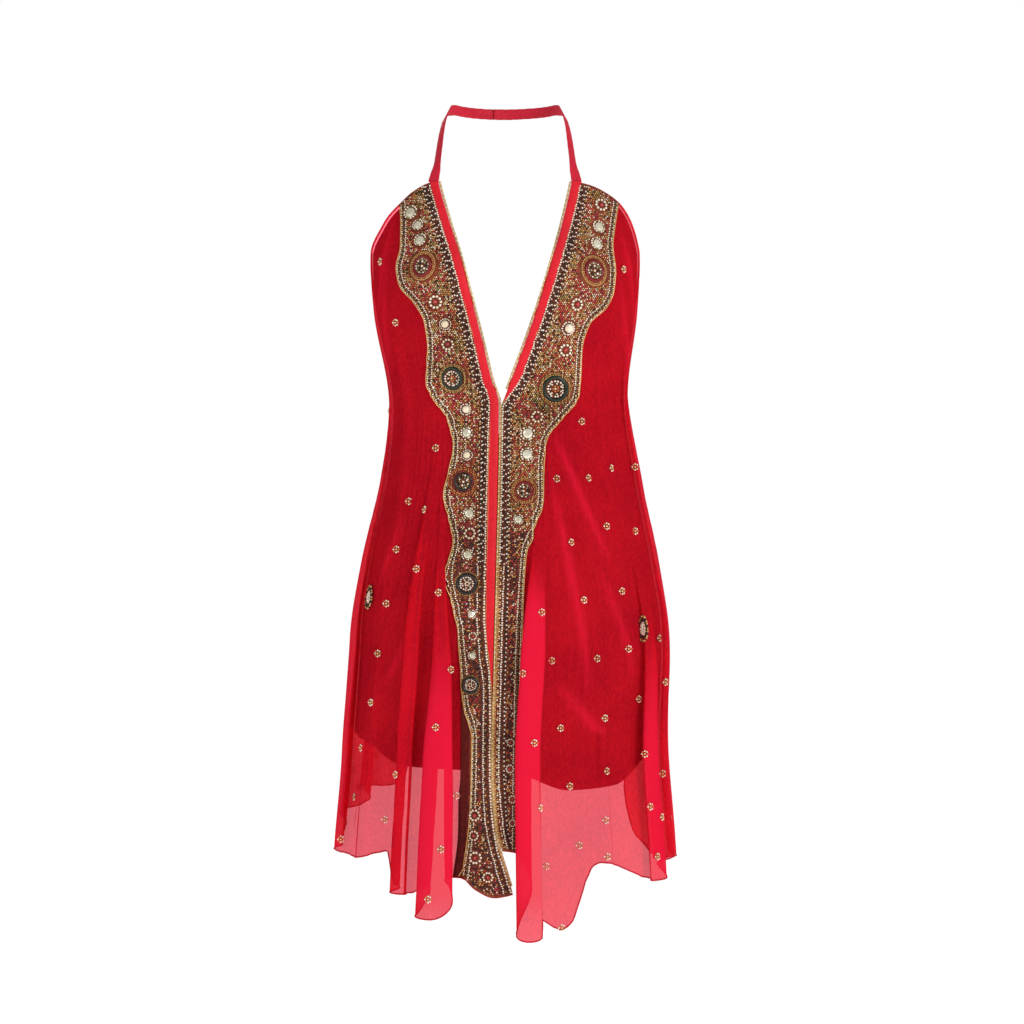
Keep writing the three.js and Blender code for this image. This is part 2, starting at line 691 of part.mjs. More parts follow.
// ---------------------------------------------------------------- the back, the lining and the straps
const backTopAt = (angle) => lerp(BACK_TOP, SIDE_TOP, Math.abs(angle / SIDE_SEAM - 2) ** BACK_CURVE);
const hemBackAt = through(HEM_BACK, "angle", "z");

function backGrid() {
  const shares = crowdedShares(SIDE_SEAM, 360 - SIDE_SEAM, COLUMNS.back);
  const grid = [];
  for (let i = 0; i <= ROWS.back; i += 1) {
    const row = [];
    for (let j = 0; j <= COLUMNS.back; j += 1) {
      const angle = lerp(SIDE_SEAM, 360 - SIDE_SEAM, shares[j]);
      const point = clothPoint(angle, lerp(backTopAt(angle), hemBackAt(angle), i / ROWS.back));
      if (j === 0 || j === COLUMNS.back) point.y += GAP / 2;
      row.push(point);
    }
    grid.push(row);
  }
  return grid;
}

// A point of the lining's outer face. It hangs straight inside the folds, close to the georgette at the sewn
// edges and looser below them.
function liningPoint(angle, top, down) {
  const z = lerp(top - LINING_SHORT, liningHemAt(angle), down);
  const along = bodyPoint(angle + TANGENT_STEP, z).sub(bodyPoint(angle - TANGENT_STEP, z));
  const below = bodyPoint(angle, z - TANGENT_RISE).sub(bodyPoint(angle, z + TANGENT_RISE));
  const inward = along.cross(below).normalize();
  const ease = lerp(LINING_EASE.top, LINING_EASE.below, Math.min(down / LINING_EASE.within, 1));
  return bodyPoint(angle, z).addScaledVector(inward, CLOTH + ease);
}

// Points of a front lining's outer face, from its centre edge round to the side seam.
function liningFrontGrid(front) {
  const { side } = front;
  const grid = [];
  for (let i = 0; i <= ROWS.liningFront; i += 1) {
    const down = i / ROWS.liningFront;
    const row = [];
    for (let j = 0; j <= COLUMNS.liningFront; j += 1) {
      const angle = (z) => {
        const start = angleAt(front.edge(z) + side * (EDGE_INSET + LINING_SHORT), z);
        return lerp(start, side * SIDE_SEAM, j / COLUMNS.liningFront);
      };
      const top = front.armhole(Math.abs(angle(TIP_Z)));
      const point = liningPoint(angle(lerp(top, LINING_LEVEL, down)), top, down);
      if (j === COLUMNS.liningFront) point.y -= GAP;
      row.push(point);
    }
    grid.push(side < 0 ? row.reverse() : row);
  }
  return grid;
}

function liningBackGrid() {
  const grid = [];
  for (let i = 0; i <= ROWS.liningBack; i += 1) {
    const row = [];
    for (let j = 0; j <= COLUMNS.liningBack; j += 1) {
      const angle = lerp(SIDE_SEAM, 360 - SIDE_SEAM, j / COLUMNS.liningBack);
      const point = liningPoint(angle, backTopAt(angle), i / ROWS.liningBack);
      if (j === 0 || j === COLUMNS.liningBack) point.y += GAP;
      row.push(point);
    }
    grid.push(row);
  }
  return grid;
}

// A strap: a flat band from its front's top corner round to the nape, always facing away from the neck.
function strapGrid(front, grid) {
  const { side } = front;
  const [first, second] = columnsOf(grid, front, 0, 2);
  const [inner, outer] = (side < 0 ? [second, first] : [first, second]).map((j) =>
    grid[0][j].clone().setZ(TIP_Z + STRAP.rise),
  );
  outer.sub(inner).setLength(STRAP.width).add(inner);
  const lapEnd = STRAP_LINE[STRAP_LINE.length - 2];
  const line = new THREE.CatmullRomCurve3([
    inner.clone().lerp(outer, 0.5),
    ...STRAP_LINE.map((p) => new THREE.Vector3(side * p.x, p.y, p.z)),
    new THREE.Vector3(-side * lapEnd.x, lapEnd.y, lapEnd.z),
  ]);
  const rows = [];
  for (let i = 0; i <= STRAP_STEPS; i += 1) {
    const t = i / STRAP_STEPS;
    const centre = line.getPointAt(t);
    const along = line.getTangentAt(t);
    const out = new THREE.Vector3(centre.x - NECK.x, centre.y - NECK.y, 0).normalize();
    const across = along.clone().cross(out).normalize().multiplyScalar(STRAP.width / 2);
    // At the nape the wearer's right strap passes outside the left one.
    const crossed = smoothstep((t - STRAP_CROSSING.from) / (STRAP_CROSSING.to - STRAP_CROSSING.from));
    centre.addScaledVector(out, (-side * (STRAP.thickness + 2 * GAP) * crossed) / 2);
    rows.push([centre.clone().add(across), centre.clone().sub(across)]);
  }
  rows[0] = side < 0 ? [inner, outer] : [outer, inner];
  return rows;
}

// ---------------------------------------------------------------- materials and assembly
const FINISHES = {
  georgette: { color: "#c8142f", roughness: 0.75, metalness: 0 },
  lining: { color: "#a80f26", roughness: 0.8, metalness: 0 },
  beadwork: { color: "#8d6a45", roughness: 0.45, metalness: 0.3 },
  binding: { color: "#d61f30", roughness: 0.6, metalness: 0 },
  piping: { color: "#d8b070", roughness: 0.4, metalness: 0.5 },
  strap: { color: "#cf2c40", roughness: 0.65, metalness: 0 },
};

const dress = new THREE.Group();
function add(name, geometry, finish) {
  const mesh = new THREE.Mesh(geometry, new THREE.MeshStandardMaterial(FINISHES[finish]));
  mesh.name = name;
  dress.add(mesh);
}

for (const [name, front] of Object.entries(FRONTS)) {
  const grid = frontGrid(front);
  add(`front_${name}`, sheet(grid, CLOTH), "georgette");
  add(`lining_front_${name}`, sheet(liningFrontGrid(front), LINING), "lining");
  add(`border_${name}`, borderGeometry(grid, front), "beadwork");
  add(`binding_${name}`, bindingGeometry(grid, front), "binding");
  add(`piping_${name}`, pipingGeometry(grid, front), "piping");
  add(`strap_${name}`, sheet(strapGrid(front, grid), STRAP.thickness), "strap");
}
add("back", sheet(backGrid(), CLOTH), "georgette");
add("lining_back", sheet(liningBackGrid(), LINING), "lining");

export default dress;
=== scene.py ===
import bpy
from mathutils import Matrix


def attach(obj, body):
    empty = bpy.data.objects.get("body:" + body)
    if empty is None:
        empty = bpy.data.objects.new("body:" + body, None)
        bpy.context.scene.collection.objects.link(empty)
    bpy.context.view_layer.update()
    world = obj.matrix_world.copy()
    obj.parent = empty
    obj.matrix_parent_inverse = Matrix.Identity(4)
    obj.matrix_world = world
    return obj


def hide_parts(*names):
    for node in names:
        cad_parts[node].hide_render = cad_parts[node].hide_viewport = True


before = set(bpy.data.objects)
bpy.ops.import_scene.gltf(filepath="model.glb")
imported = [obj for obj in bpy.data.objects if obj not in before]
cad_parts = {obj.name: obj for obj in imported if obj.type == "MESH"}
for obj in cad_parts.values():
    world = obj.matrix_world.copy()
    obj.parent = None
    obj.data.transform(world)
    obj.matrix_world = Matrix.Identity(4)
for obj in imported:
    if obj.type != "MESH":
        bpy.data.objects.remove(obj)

"""A backless halter dress made from a sari: sheer georgette over a short lining, with beaded borders.

Sizes are in millimetres until a mesh is made. +Z is up, the front faces -Y and +X is the wearer's left.
Angles run round the body: 0 at centre front, 90 at the wearer's left side seam, 180 at the centre back.
"""
import logging
import math
from dataclasses import dataclass, field
from enum import Enum
from typing import Callable, Sequence

import bpy
import numpy as np

LOG = logging.getLogger("sari_dress")
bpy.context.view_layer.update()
MM = 0.001
Array = np.ndarray
Curve = Callable[[Array], Array]


# ------------------------------------------------------------------------------------------------ finishes
class Weave(Enum):
    """How a finish's surface was made, which sets its pattern of colour and bump."""

    CREPE = "crepe"  # twisted yarns that pucker into a fine irregular grain
    SATIN = "satin"  # smooth floats, with a faint grain along the cloth
    PLAIN = "plain"  # folded and pressed, with a fine even weave
    NET = "net"  # coarse embroidered ground between beads
    CAST = "cast"  # glass or metal, smooth with slight variation


@dataclass(frozen=True)
class Finish:
    """One finish: its colours as sRGB hex, and its typical values."""

    name: str
    light: str
    dark: str
    weave: Weave
    roughness: float = 0.6
    metallic: float = 0.0
    alpha: float = 1.0
    through: float = 0.0  # share of the light that passes straight through, coloured by the yarns
    gloss: float = 0.5
    coat: float = 0.0
    grain_mm: float = 1.4
    relief_mm: float = 0.1
    crest: str | None = None  # painted highlight colour on the folds' crests and the creases' ridges, where the cloth also lets no light through


# Sheer polyester georgette: matt, see-through in one layer, saturated where layers lie over each other. The
# folds' crests get a painted highlight colour. Its crepe grain is 0.4 mm in fact, and is drawn coarser so
# that it shows.
GEORGETTE = Finish(
    "georgette_sheer_red",
    "#e61b2b",
    "#c91328",
    Weave.CREPE,
    0.7,
    alpha=0.93,
    through=0.45,
    gloss=0.12,
    grain_mm=2.6,
    # painted highlight colour for the folds' crests and the creases' ridges
    crest="#e21a38",
)
# Polyester satin lining, dark inside the dress.
LINING = Finish(
    "lining_satin_crimson", "#7c0b22", "#5e081a", Weave.SATIN, 0.55, gloss=0.2, grain_mm=2.0, relief_mm=0.05
)
# Bias binding of the same red, folded and pressed.
BINDING = Finish("binding_plain_red", "#df1e2e", "#c51624", Weave.PLAIN, 0.6, gloss=0.2, grain_mm=1.6)
STRAP = Finish("strap_folded_georgette", "#cf2038", "#b4162b", Weave.PLAIN, 0.65, gloss=0.2, grain_mm=1.8)
ROLL = Finish("hem_rolled_georgette", "#c8172e", "#a61026", Weave.PLAIN, 0.65, gloss=0.15, grain_mm=1.6)
GROUND = Finish(
    "border_embroidered_ground", "#8c4527", "#521d15", Weave.NET, 0.75, gloss=0.2, grain_mm=2.4, relief_mm=0.3
)
# Dark net of the border, where it has no beads.
NET = Finish("border_plain_net", "#6a1a16", "#47100e", Weave.NET, 0.75, alpha=0.9, gloss=0.15, grain_mm=2.4)
SILVER = Finish("bead_silver_lined", "#fbf3e4", "#d9cdb6", Weave.CAST, 0.22, 0.25)
GOLD = Finish("bead_antique_gold", "#e6bd7c", "#b98a48", Weave.CAST, 0.3, 0.35)
CREAM = Finish("bead_cream_pearl", "#f6ead2", "#dcc7a4", Weave.CAST, 0.25, 0.1, coat=0.4)
RUBY = Finish("bead_ruby_glass", "#cf3440", "#94182a", Weave.CAST, 0.2, 0.0, coat=0.4)
MAROON = Finish("bead_maroon_glass", "#5e1a1c", "#2d0a0c", Weave.CAST, 0.22, 0.0, coat=0.5)
JET = Finish("bead_jet_glass", "#241c17", "#0e0b09", Weave.CAST, 0.3, gloss=0.35, coat=0.2)
OLIVE = Finish("bead_olive_glass", "#a0955a", "#6d6534", Weave.CAST, 0.3, 0.1, coat=0.3)
COPPER = Finish("bead_copper_gold", "#dd8850", "#b35a2e", Weave.CAST, 0.3, 0.25)
CRYSTAL = Finish("stone_foiled_crystal", "#efe9d8", "#b9b08f", Weave.CAST, 0.08, 0.35, coat=0.8)
PERIDOT = Finish("stone_green_crystal", "#a3a583", "#595c3d", Weave.CAST, 0.1, 0.3, coat=0.8)
BOTTLE = Finish("stone_bottle_green", "#1c3320", "#0a150c", Weave.CAST, 0.3, gloss=0.3, coat=0.15)
GARNET = Finish("stone_garnet_red", "#8a1015", "#4d0609", Weave.CAST, 0.3, gloss=0.3, coat=0.2)


# How far each weave's grain is drawn out along X, Y and Z, as scales of the noise.
STRETCH = {Weave.SATIN: (1.0, 1.0, 0.08), Weave.PLAIN: (1.0, 1.0, 0.5), Weave.CREPE: (1.0, 1.0, 0.6)}
EVEN = (1.0, 1.0, 1.0)
FINE_SHARE_CLOTH = 0.6  # share of the fine grain in the colour, beside the broad mottling
FINE_SHARE_CAST = 0.3
DARK_AT, LIGHT_AT = 0.36, 0.62  # values of the noise that get the dark and the light colour
MOTTLING = {"Scale": 14.0, "Detail": 3.0}
CLEAR_IOR, SOLID_IOR = 1.0, 1.5  # thin cloth doesn't bend the light that passes through it


def linear(hex_colour: str) -> tuple[float, float, float, float]:
    """Turns an sRGB hex colour to linear values.

    Args:
        hex_colour: Six hex digits after a hash.

    Returns:
        Linear red, green, blue and an alpha of 1.
    """
    parts = [int(hex_colour[i : i + 2], 16) / 255 for i in (1, 3, 5)]
    red, green, blue = [c / 12.92 if c <= 0.04045 else ((c + 0.055) / 1.055) ** 2.4 for c in parts]
    return red, green, blue, 1.0


def add_node(
    tree: bpy.types.NodeTree, kind: str, settings: dict | None = None, links: dict | None = None
) -> bpy.types.Node:
    """Adds one node to a tree.

    Args:
        tree: The node tree.
        kind: The node's type name.
        settings: Attribute names, or socket names and indexes, and the values they get.
        links: This node's input sockets and the output sockets that feed them.

    Returns:
        The new node.
    """
    node = tree.nodes.new(kind)
    for key, value in (settings or {}).items():
        if isinstance(key, int) or key in node.inputs:
            node.inputs[key].default_value = value
        else:
            setattr(node, key, value)
    for key, source in (links or {}).items():
        tree.links.new(source, node.inputs[key])
    return node


def make_material(finish: Finish) -> bpy.types.Material:
    """Makes the procedural material of a finish, once.

    Args:
        finish: What it is made of.

    Returns:
        The material.
    """
    made = bpy.data.materials.get(finish.name)
    if made:
        return made
    made = bpy.data.materials.new(finish.name)
    made.use_nodes = True
    tree = made.node_tree
    tree.nodes.clear()
    where = add_node(tree, "ShaderNodeTexCoord")
    scale = tuple(s / (finish.grain_mm * MM) for s in STRETCH.get(finish.weave, EVEN))
    grain = add_node(tree, "ShaderNodeMapping", {"Scale": scale}, {"Vector": where.outputs["Object"]})
    fine = add_node(tree, "ShaderNodeTexNoise", {"Scale": 1.0, "Detail": 2.0}, {"Vector": grain.outputs[0]})
    broad = add_node(tree, "ShaderNodeTexNoise", MOTTLING, {"Vector": where.outputs["Object"]})
    share = FINE_SHARE_CAST if finish.weave is Weave.CAST else FINE_SHARE_CLOTH
    mixed = add_node(
        tree,
        "ShaderNodeMix",
        {"data_type": "FLOAT", "Factor": share},
        {2: broad.outputs["Fac"], 3: fine.outputs["Fac"]},
    )
    ramp = add_node(tree, "ShaderNodeValToRGB", links={"Fac": mixed.outputs[0]})
    stops = ((DARK_AT, finish.dark), (LIGHT_AT, finish.light))
    for element, (position, hex_colour) in zip(ramp.color_ramp.elements, stops):
        element.position, element.color = position, linear(hex_colour)
    colour = ramp.outputs["Color"]
    links = {}
    # Painted highlight: on the folds' crests and the creases' ridges, read from the attribute written on the
    # cloth, the colour turns towards the highlight colour and the cloth lets less light through.
    if finish.crest:
        crest = add_node(tree, "ShaderNodeAttribute", {"attribute_name": "crest"})
        bright = add_node(
            tree,
            "ShaderNodeMix",
            {"data_type": "RGBA", 7: linear(finish.crest)},
            {0: crest.outputs["Fac"], 6: colour},
        )
        colour = bright.outputs[2]
        closed = add_node(
            tree,
            "ShaderNodeMapRange",
            {"To Min": finish.through, "To Max": 0.0},
            {"Value": crest.outputs["Fac"]},
        )
        links["Transmission Weight"] = closed.outputs[0]
    links["Base Color"] = colour
    shader = add_node(
        tree,
        "ShaderNodeBsdfPrincipled",
        {
            "Roughness": finish.roughness,
            "Metallic": finish.metallic,
            "Alpha": finish.alpha,
            "Transmission Weight": finish.through,
            "IOR": CLEAR_IOR if finish.through else SOLID_IOR,
            "Specular IOR Level": finish.gloss,
            "Coat Weight": finish.coat,
        },
        links,
    )
    if finish.weave is not Weave.CAST:
        relief = {"Strength": 0.5, "Distance": finish.relief_mm * MM}
        bump = add_node(tree, "ShaderNodeBump", relief, {"Height": fine.outputs["Fac"]})
        tree.links.new(bump.outputs[0], shader.inputs["Normal"])
    add_node(tree, "ShaderNodeOutputMaterial", links={"Surface": shader.outputs[0]})
    return made


# ------------------------------------------------------------------------------------------------ curves
def smooth(t: Array) -> Array:
    """A soft step from 0 to 1 as t goes from 0 to 1."""
    c = np.clip(t, 0.0, 1.0)
    return c * c * (3.0 - 2.0 * c)


def through(rows: Sequence[tuple[float, float]]) -> Curve:
    """Makes a smooth curve through a table's rows that never overshoots them.

    Args:
        rows: Pairs of a key and its value.

    Returns:
        A function of the key, held at both ends.
    """
    at, value = (np.array(column, float) for column in zip(*sorted(rows)))
    chord = np.diff(value) / np.diff(at)
    slope = np.empty_like(value)
    slope[0], slope[-1] = chord[0], chord[-1]
    before, after = chord[:-1], chord[1:]
    total = np.where(before + after == 0.0, 1.0, before + after)
    slope[1:-1] = np.where(before * after <= 0.0, 0.0, 2.0 * before * after / total)

    def curve(key: Array) -> Array:
        """The table's value at a key."""
        c = np.clip(key, at[0], at[-1])
        i = np.clip(np.searchsorted(at, c, side="right") - 1, 0, len(at) - 2)
        h = at[i + 1] - at[i]
        t = (c - at[i]) / h
        s = 1.0 - t
        return (
            value[i] * (1 + 2 * t) * s * s
            + slope[i] * h * t * s * s
            + value[i + 1] * t * t * (3 - 2 * t)
            - slope[i + 1] * h * t * t * s
        )

    return curve


@dataclass(frozen=True)
class Fold:
    """A hanging fold of the georgette, from its height `top` and angle `start` to the hem at angle `end`.

    It has its whole depth from the height `full` down. half_top and half_hem are half its width in degrees,
    lean tips its crest in degrees, bulge rounds it out past its roots in millimetres, and by `gone` the fold
    has died out.
    """

    top: float
    full: float
    start: float
    end: float
    half_top: float
    half_hem: float
    depth: float
    lean: float = 0.0
    bulge: float = 0.0
    gone: float | None = None


@dataclass(frozen=True)
class Crease:
    """A soft ridge, or a trough if its depth is negative, between two places on the cloth (angle, height)."""

    start: tuple[float, float]
    end: tuple[float, float]
    width: float
    depth: float


@dataclass(frozen=True)
class Body:
    """The form that the dress keeps: oval sections, the fullness of the bust, the folds and the creases."""

    squareness: float = 2.3
    hem_level: float = -960.0
    # height, shift to the wearer's left, half width, depth in front, depth behind
    sections: tuple[tuple[float, float, float, float, float], ...] = (
        (-80, 0, 148, 62, 78),
        (-140, 0, 161, 90, 86),
        (-200, 0, 165, 108, 90),
        (-250, 0.5, 162, 112, 90),
        (-362, 4, 146.5, 106, 88),
        (-458, 7, 157, 112, 98),
        (-554, 6.5, 176, 122, 114),
        (-650, 7, 189, 131, 126),
        (-790, 0.5, 191.5, 140, 136),
        (-900, 0, 200, 147, 142),
        (-1010, 0, 207, 152, 146),
    )
    cup_x: float = 80.0
    cup_z: float = -222.0
    cup_reach_x: float = 44.0
    cup_reach_z: float = 62.0
    cup_lift: float = 15.0
    hem_reach: float = 1.1
    # Painted highlight on the folds' crests and the creases' ridges: the next seven values set the height
    # below which ridges get none, where it fades out above the hem, the fold lift at which it comes in, and
    # its strength and full lift on the ridges.
    ridges_to: float = -760.0
    sheer_tips: float = -942.0
    tips_over: float = 45.0
    crest_from: float = 8.0
    crest_lift: float = 14.0
    ridge_highlight: float = 0.5
    ridge_lift: float = 3.0
    degree: float = 2.9  # about how many millimetres of girth a degree takes
    ripple: float = 0.35
    folds: tuple[Fold, ...] = (
        Fold(-440, -860, -30, -19.8, 1.2, 9, 26, 0, 13), Fold(-380, -700, -33, -33.6, 3.2, 4.4, 12, -16, 7),
        Fold(-420, -880, -56, -55, 8, 9, 11, 12, 2), Fold(-240, -700, -76, -76, 6, 8, 15, 28, 6),
        Fold(-170, -330, -56, -52, 5, 6, 6, -20, gone=-640),
        Fold(-470, -680, 10.2, 9.2, 4.6, 5.3, 27, -42, 9),
        Fold(-620, -900, 24, 24.5, 3, 4, 5, 10), Fold(-600, -900, 34, 33.5, 3.5, 5, 8, 10, 1),
        Fold(-480, -800, 55, 60, 6, 8.5, 20, -28, 9), Fold(-160, -480, 62, 75, 6, 8, 12, -20, 2),
        Fold(-200, -380, 44, 46, 5, 6, 6, -20, gone=-640), Fold(-330, -860, 104, 103, 6, 9, 16, 10, 3),
        Fold(-400, -880, 122, 121, 5, 8, 22, -15, 6), Fold(-430, -900, 139, 138, 6, 9, 18, 12, 3),
        Fold(-440, -880, 156, 157, 5, 8, 25, -12, 7), Fold(-450, -900, 174, 176, 5, 9, 17, 15, 3),
        Fold(-440, -870, 193, 195, 6, 8, 24, 10, 7), Fold(-430, -900, 211, 213, 5, 9, 16, -14, 3),
        Fold(-400, -880, 231, 232, 6, 9, 23, 14, 6), Fold(-330, -860, 253, 254, 5, 9, 15, -10, 3),
    )
    creases: tuple[Crease, ...] = (
        # gathers beside the borders, over the bust
        Crease((-54, -142), (-68, -214), 5, 1.6), Crease((-55, -160), (-72, -262), 6, 2.0),
        Crease((-57, -186), (-70, -330), 7, 2.2), Crease((-53, -230), (-64, -380), 7, -1.8),
        Crease((55, -146), (70, -222), 5, 1.6), Crease((57, -168), (76, -270), 6, 2.0),
        Crease((54, -208), (72, -345), 7, 2.0), Crease((48, -246), (66, -400), 7, -1.8),
        # lines that fan out from the left border at the hip
        Crease((17, -400), (40, -560), 6, 4.0), Crease((16, -424), (34, -650), 6, -3.2),
        Crease((15, -448), (27, -720), 6, 3.6), Crease((20, -380), (52, -520), 7, -3.2),
        # slack lines across the flat stretches of the skirt
        Crease((-36, -640), (-49, -706), 6, 2.8), Crease((-35, -694), (-50, -770), 5, -2.6),
        Crease((-35, -742), (-48, -812), 6, 2.6), Crease((13, -700), (41, -786), 7, 3.0),
        Crease((14, -744), (30, -800), 6, -1.5),
        # folds that the sheer cloth takes below the lining
        Crease((-48, -800), (-50, -906), 3, -2.6), Crease((-41, -770), (-44, -900), 2.6, -2.4),
        Crease((-60, -820), (-66, -906), 4, 2.2), Crease((31, -760), (33, -912), 2.8, -3.0),
        Crease((45, -800), (41, -916), 3, 2.8), Crease((44, -770), (50, -908), 2.6, -2.6),
        Crease((20, -890), (27, -958), 4, -2.6), Crease((-26, -880), (-24, -962), 4, -2.0),
        # pull lines over the hips, in front and then behind
        Crease((-37, -470), (-38, -690), 3, -2.2), Crease((-48, -500), (-60, -600), 6, 2.0),
        Crease((-44, -560), (-58, -668), 6, -2.0), Crease((33, -560), (50, -700), 7, 2.4),
        Crease((26, -640), (44, -760), 6, -2.0), Crease((110, -420), (128, -640), 8, 2.0),
        Crease((150, -440), (168, -620), 8, -2.2), Crease((206, -430), (186, -650), 8, 2.2),
        Crease((246, -400), (228, -640), 8, -2.0),
    )

    def column(self, number: int, z: Array) -> Array:
        """One column of the sections, read at heights."""
        return through([(s[0], s[number]) for s in self.sections])(z)

    def centre(self, z: Array) -> Array:
        """How far the dress hangs to the wearer's left at a height."""
        return self.column(1, z)

    def half_width(self, z: Array) -> Array:
        """Half the width of the dress at a height."""
        return self.column(2, z)

    def plain(self, angle: Array, z: Array) -> Array:
        """Points of the dress without folds.

        Args:
            angle: Angles in degrees.
            z: Heights.

        Returns:
            The points, in the last axis.
        """
        sine, cosine = np.sin(np.radians(angle)), np.cos(np.radians(angle))
        power = 2.0 / self.squareness
        aside = self.half_width(z) * np.sign(sine) * np.abs(sine) ** power
        depth = np.where(cosine > 0, self.column(3, z), self.column(4, z))
        y = -depth * np.sign(cosine) * np.abs(cosine) ** power
        across, along = (np.abs(aside) - self.cup_x) / self.cup_reach_x, (z - self.cup_z) / self.cup_reach_z
        cup = self.cup_lift * np.abs(cosine) ** power * np.exp(-(across**2) - along**2)
        y = y - np.where(cosine > 0, cup, 0.0)
        return np.stack([self.centre(z) + aside, y, z + 0.0 * aside], axis=-1)

    def angle_at(self, x: Array, z: Array) -> Array:
        """The angle on the front at which the dress is x from its centre line."""
        aside = x - self.centre(z)
        sine = np.clip(np.abs(aside) / self.half_width(z), 0.0, 1.0) ** (self.squareness / 2.0)
        return np.sign(aside) * np.degrees(np.arcsin(sine))

    def under(self, x: Array, z: Array) -> Array:
        """Angles on the front at which the outermost layer of cloth passes x, folds and all."""
        angle = np.arange(-89.8, 90.0, 0.2)
        reach, too_far = 2.0, 999.0
        found = []
        for at, height in zip(np.atleast_1d(x), np.atleast_1d(z)):
            points = self.cloth(angle, np.full_like(angle, height))
            aside = np.abs(points[:, 0] - at)
            score = np.where(aside < reach, points[:, 1] + 2.0 * aside, too_far)
            found.append(angle[np.argmin(score)])
        return np.array(found)

    def cloth(self, angle: Array, z: Array) -> Array:
        """Points of the georgette: the plain form moved out and along by its folds and creases.

        Args:
            angle: Angles in degrees.
            z: Heights.

        Returns:
            The points, in the last axis.
        """
        angle, z = np.broadcast_arrays(np.asarray(angle, float), np.asarray(z, float))
        point = self.plain(angle, z)
        along = self.plain(angle + 0.5, z) - self.plain(angle - 0.5, z)
        along[..., 2] = 0.0
        along /= np.linalg.norm(along, axis=-1, keepdims=True)
        out = np.stack([along[..., 1], -along[..., 0], 0.0 * z], axis=-1)
        for fold in self.folds:
            lift, swell = self.fold_shape(fold, angle, z)
            lean = math.radians(fold.lean)
            point = point + out * (lift * math.cos(lean))[..., None]
            point = point + along * (lift * math.sin(lean) + swell)[..., None]
        return point + out * self.crease_lift(angle, z)[..., None]

    def fold_shape(self, fold: Fold, angle: Array, z: Array) -> tuple[Array, Array]:
        """How far a fold lifts the cloth, and how far it moves it along the body, at angles and heights."""
        down = np.clip((fold.top - z) / (fold.top - self.hem_level), 0.0, self.hem_reach)
        half = fold.half_top + (fold.half_hem - fold.half_top) * down
        swung = 1.0 - (1.0 - down) ** 3
        away = (angle - (fold.start + (fold.end - fold.start) * swung) + 180.0) % 360.0 - 180.0
        s = away / half
        near = np.abs(s) < 1.0
        grown = smooth((fold.top - z) / (fold.top - fold.full))
        if fold.gone is not None:
            grown = grown * (1.0 - smooth((fold.full - z) / (fold.full - fold.gone)))
        lift = np.where(near, grown * fold.depth * (1.0 + np.cos(np.pi * s)) / 2.0, 0.0)
        return lift, np.where(near, grown * fold.bulge * np.sin(2.0 * np.pi * s), 0.0)

    def crest(self, angle: Array, z: Array) -> Array:
        """The strength of the painted highlight: up to 1 on a fold's crest, less on a crease's ridge."""
        angle, z = np.broadcast_arrays(np.asarray(angle, float), np.asarray(z, float))
        lift = sum(self.fold_shape(fold, angle, z)[0] for fold in self.folds)
        above_tips = 1.0 - smooth((self.sheer_tips - z) / self.tips_over)
        close = smooth((lift - self.crest_from) / self.crest_lift) * above_tips
        raised = np.clip(self.crease_lift(angle, z) / self.ridge_lift, 0.0, 1.0)
        return np.maximum(close, self.ridge_highlight * raised * (z > self.ridges_to))

    def crease_lift(self, angle: Array, z: Array) -> Array:
        """How far the small creases lift the cloth at angles and heights."""
        lift = np.zeros_like(z)
        for crease in self.creases:
            (a0, z0), (a1, z1) = crease.start, crease.end
            ahead = np.array([(a1 - a0) * self.degree, z1 - z0])
            length = np.hypot(*ahead)
            ahead /= length
            u, v = (angle % 360.0 - a0 % 360.0) * self.degree, z - z0
            run = np.clip((u * ahead[0] + v * ahead[1]) / length, 0.0, 1.0)
            aside = np.abs(u * ahead[1] - v * ahead[0])
            lift += crease.depth * np.exp(-((aside / crease.width) ** 2)) * np.sin(np.pi * run) ** 0.7
        ripple = np.sin(angle * 1.9 + z * 0.004) + 0.7 * np.sin(angle * 3.3 - z * 0.011 + 1.3)
        return lift + self.ripple * ripple * smooth((-150.0 - z) / 300.0)

    def normal(self, angle: Array, z: Array) -> Array:
        """The cloth's outward direction at angles and heights."""
        across = self.cloth(angle + 0.25, z) - self.cloth(angle - 0.25, z)
        down = self.cloth(angle, z - 1.0) - self.cloth(angle, z + 1.0)
        normal = np.cross(down, across)
        return normal / np.linalg.norm(normal, axis=-1, keepdims=True)


BODY = Body()


# ------------------------------------------------------------------------------------------------ meshes
def new_object(
    name: str, points: Array, faces: Sequence[Sequence[int]], finishes: Sequence[Finish]
) -> bpy.types.Object:
    """Makes a smooth mesh object at the origin from points in millimetres.

    Args:
        name: The piece's name.
        points: One point a row.
        faces: Point numbers of each face, outside up.
        finishes: The finishes of its material slots.

    Returns:
        The object.
    """
    mesh = bpy.data.meshes.new(name)
    mesh.from_pydata((np.asarray(points, float) * MM).tolist(), [], [list(f) for f in faces])
    mesh.polygons.foreach_set("use_smooth", np.ones(len(mesh.polygons), bool))
    for finish in finishes:
        mesh.materials.append(make_material(finish))
    mesh.update()
    made = bpy.data.objects.new(name, mesh)
    bpy.context.scene.collection.objects.link(made)
    return made


def grid_faces(rows: int, columns: int, start: int = 0, flip: bool = False) -> list[tuple[int, ...]]:
    """Faces of a grid whose rows run down and whose columns run to the wearer's left, outside up.

    Args:
        rows: How many rows of points there are.
        columns: How many points a row has.
        start: The first point's number.
        flip: Whether the faces look inwards.

    Returns:
        Four point numbers for each face.
    """
    ids = start + np.arange(rows * columns).reshape(rows, columns)
    a, b, c, d = ids[:-1, :-1], ids[1:, :-1], ids[1:, 1:], ids[:-1, 1:]
    quads = np.stack([a, d, c, b] if flip else [a, b, c, d], axis=-1).reshape(-1, 4)
    return [tuple(q) for q in quads.tolist()]


def place(made: bpy.types.Object, node: str) -> bpy.types.Object:
    """Parents a piece to the body's root and hides the node that it replaces on the body.

    Args:
        made: The piece.
        node: The node.

    Returns:
        The piece.
    """
    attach(made, "root")
    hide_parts(node)
    return made


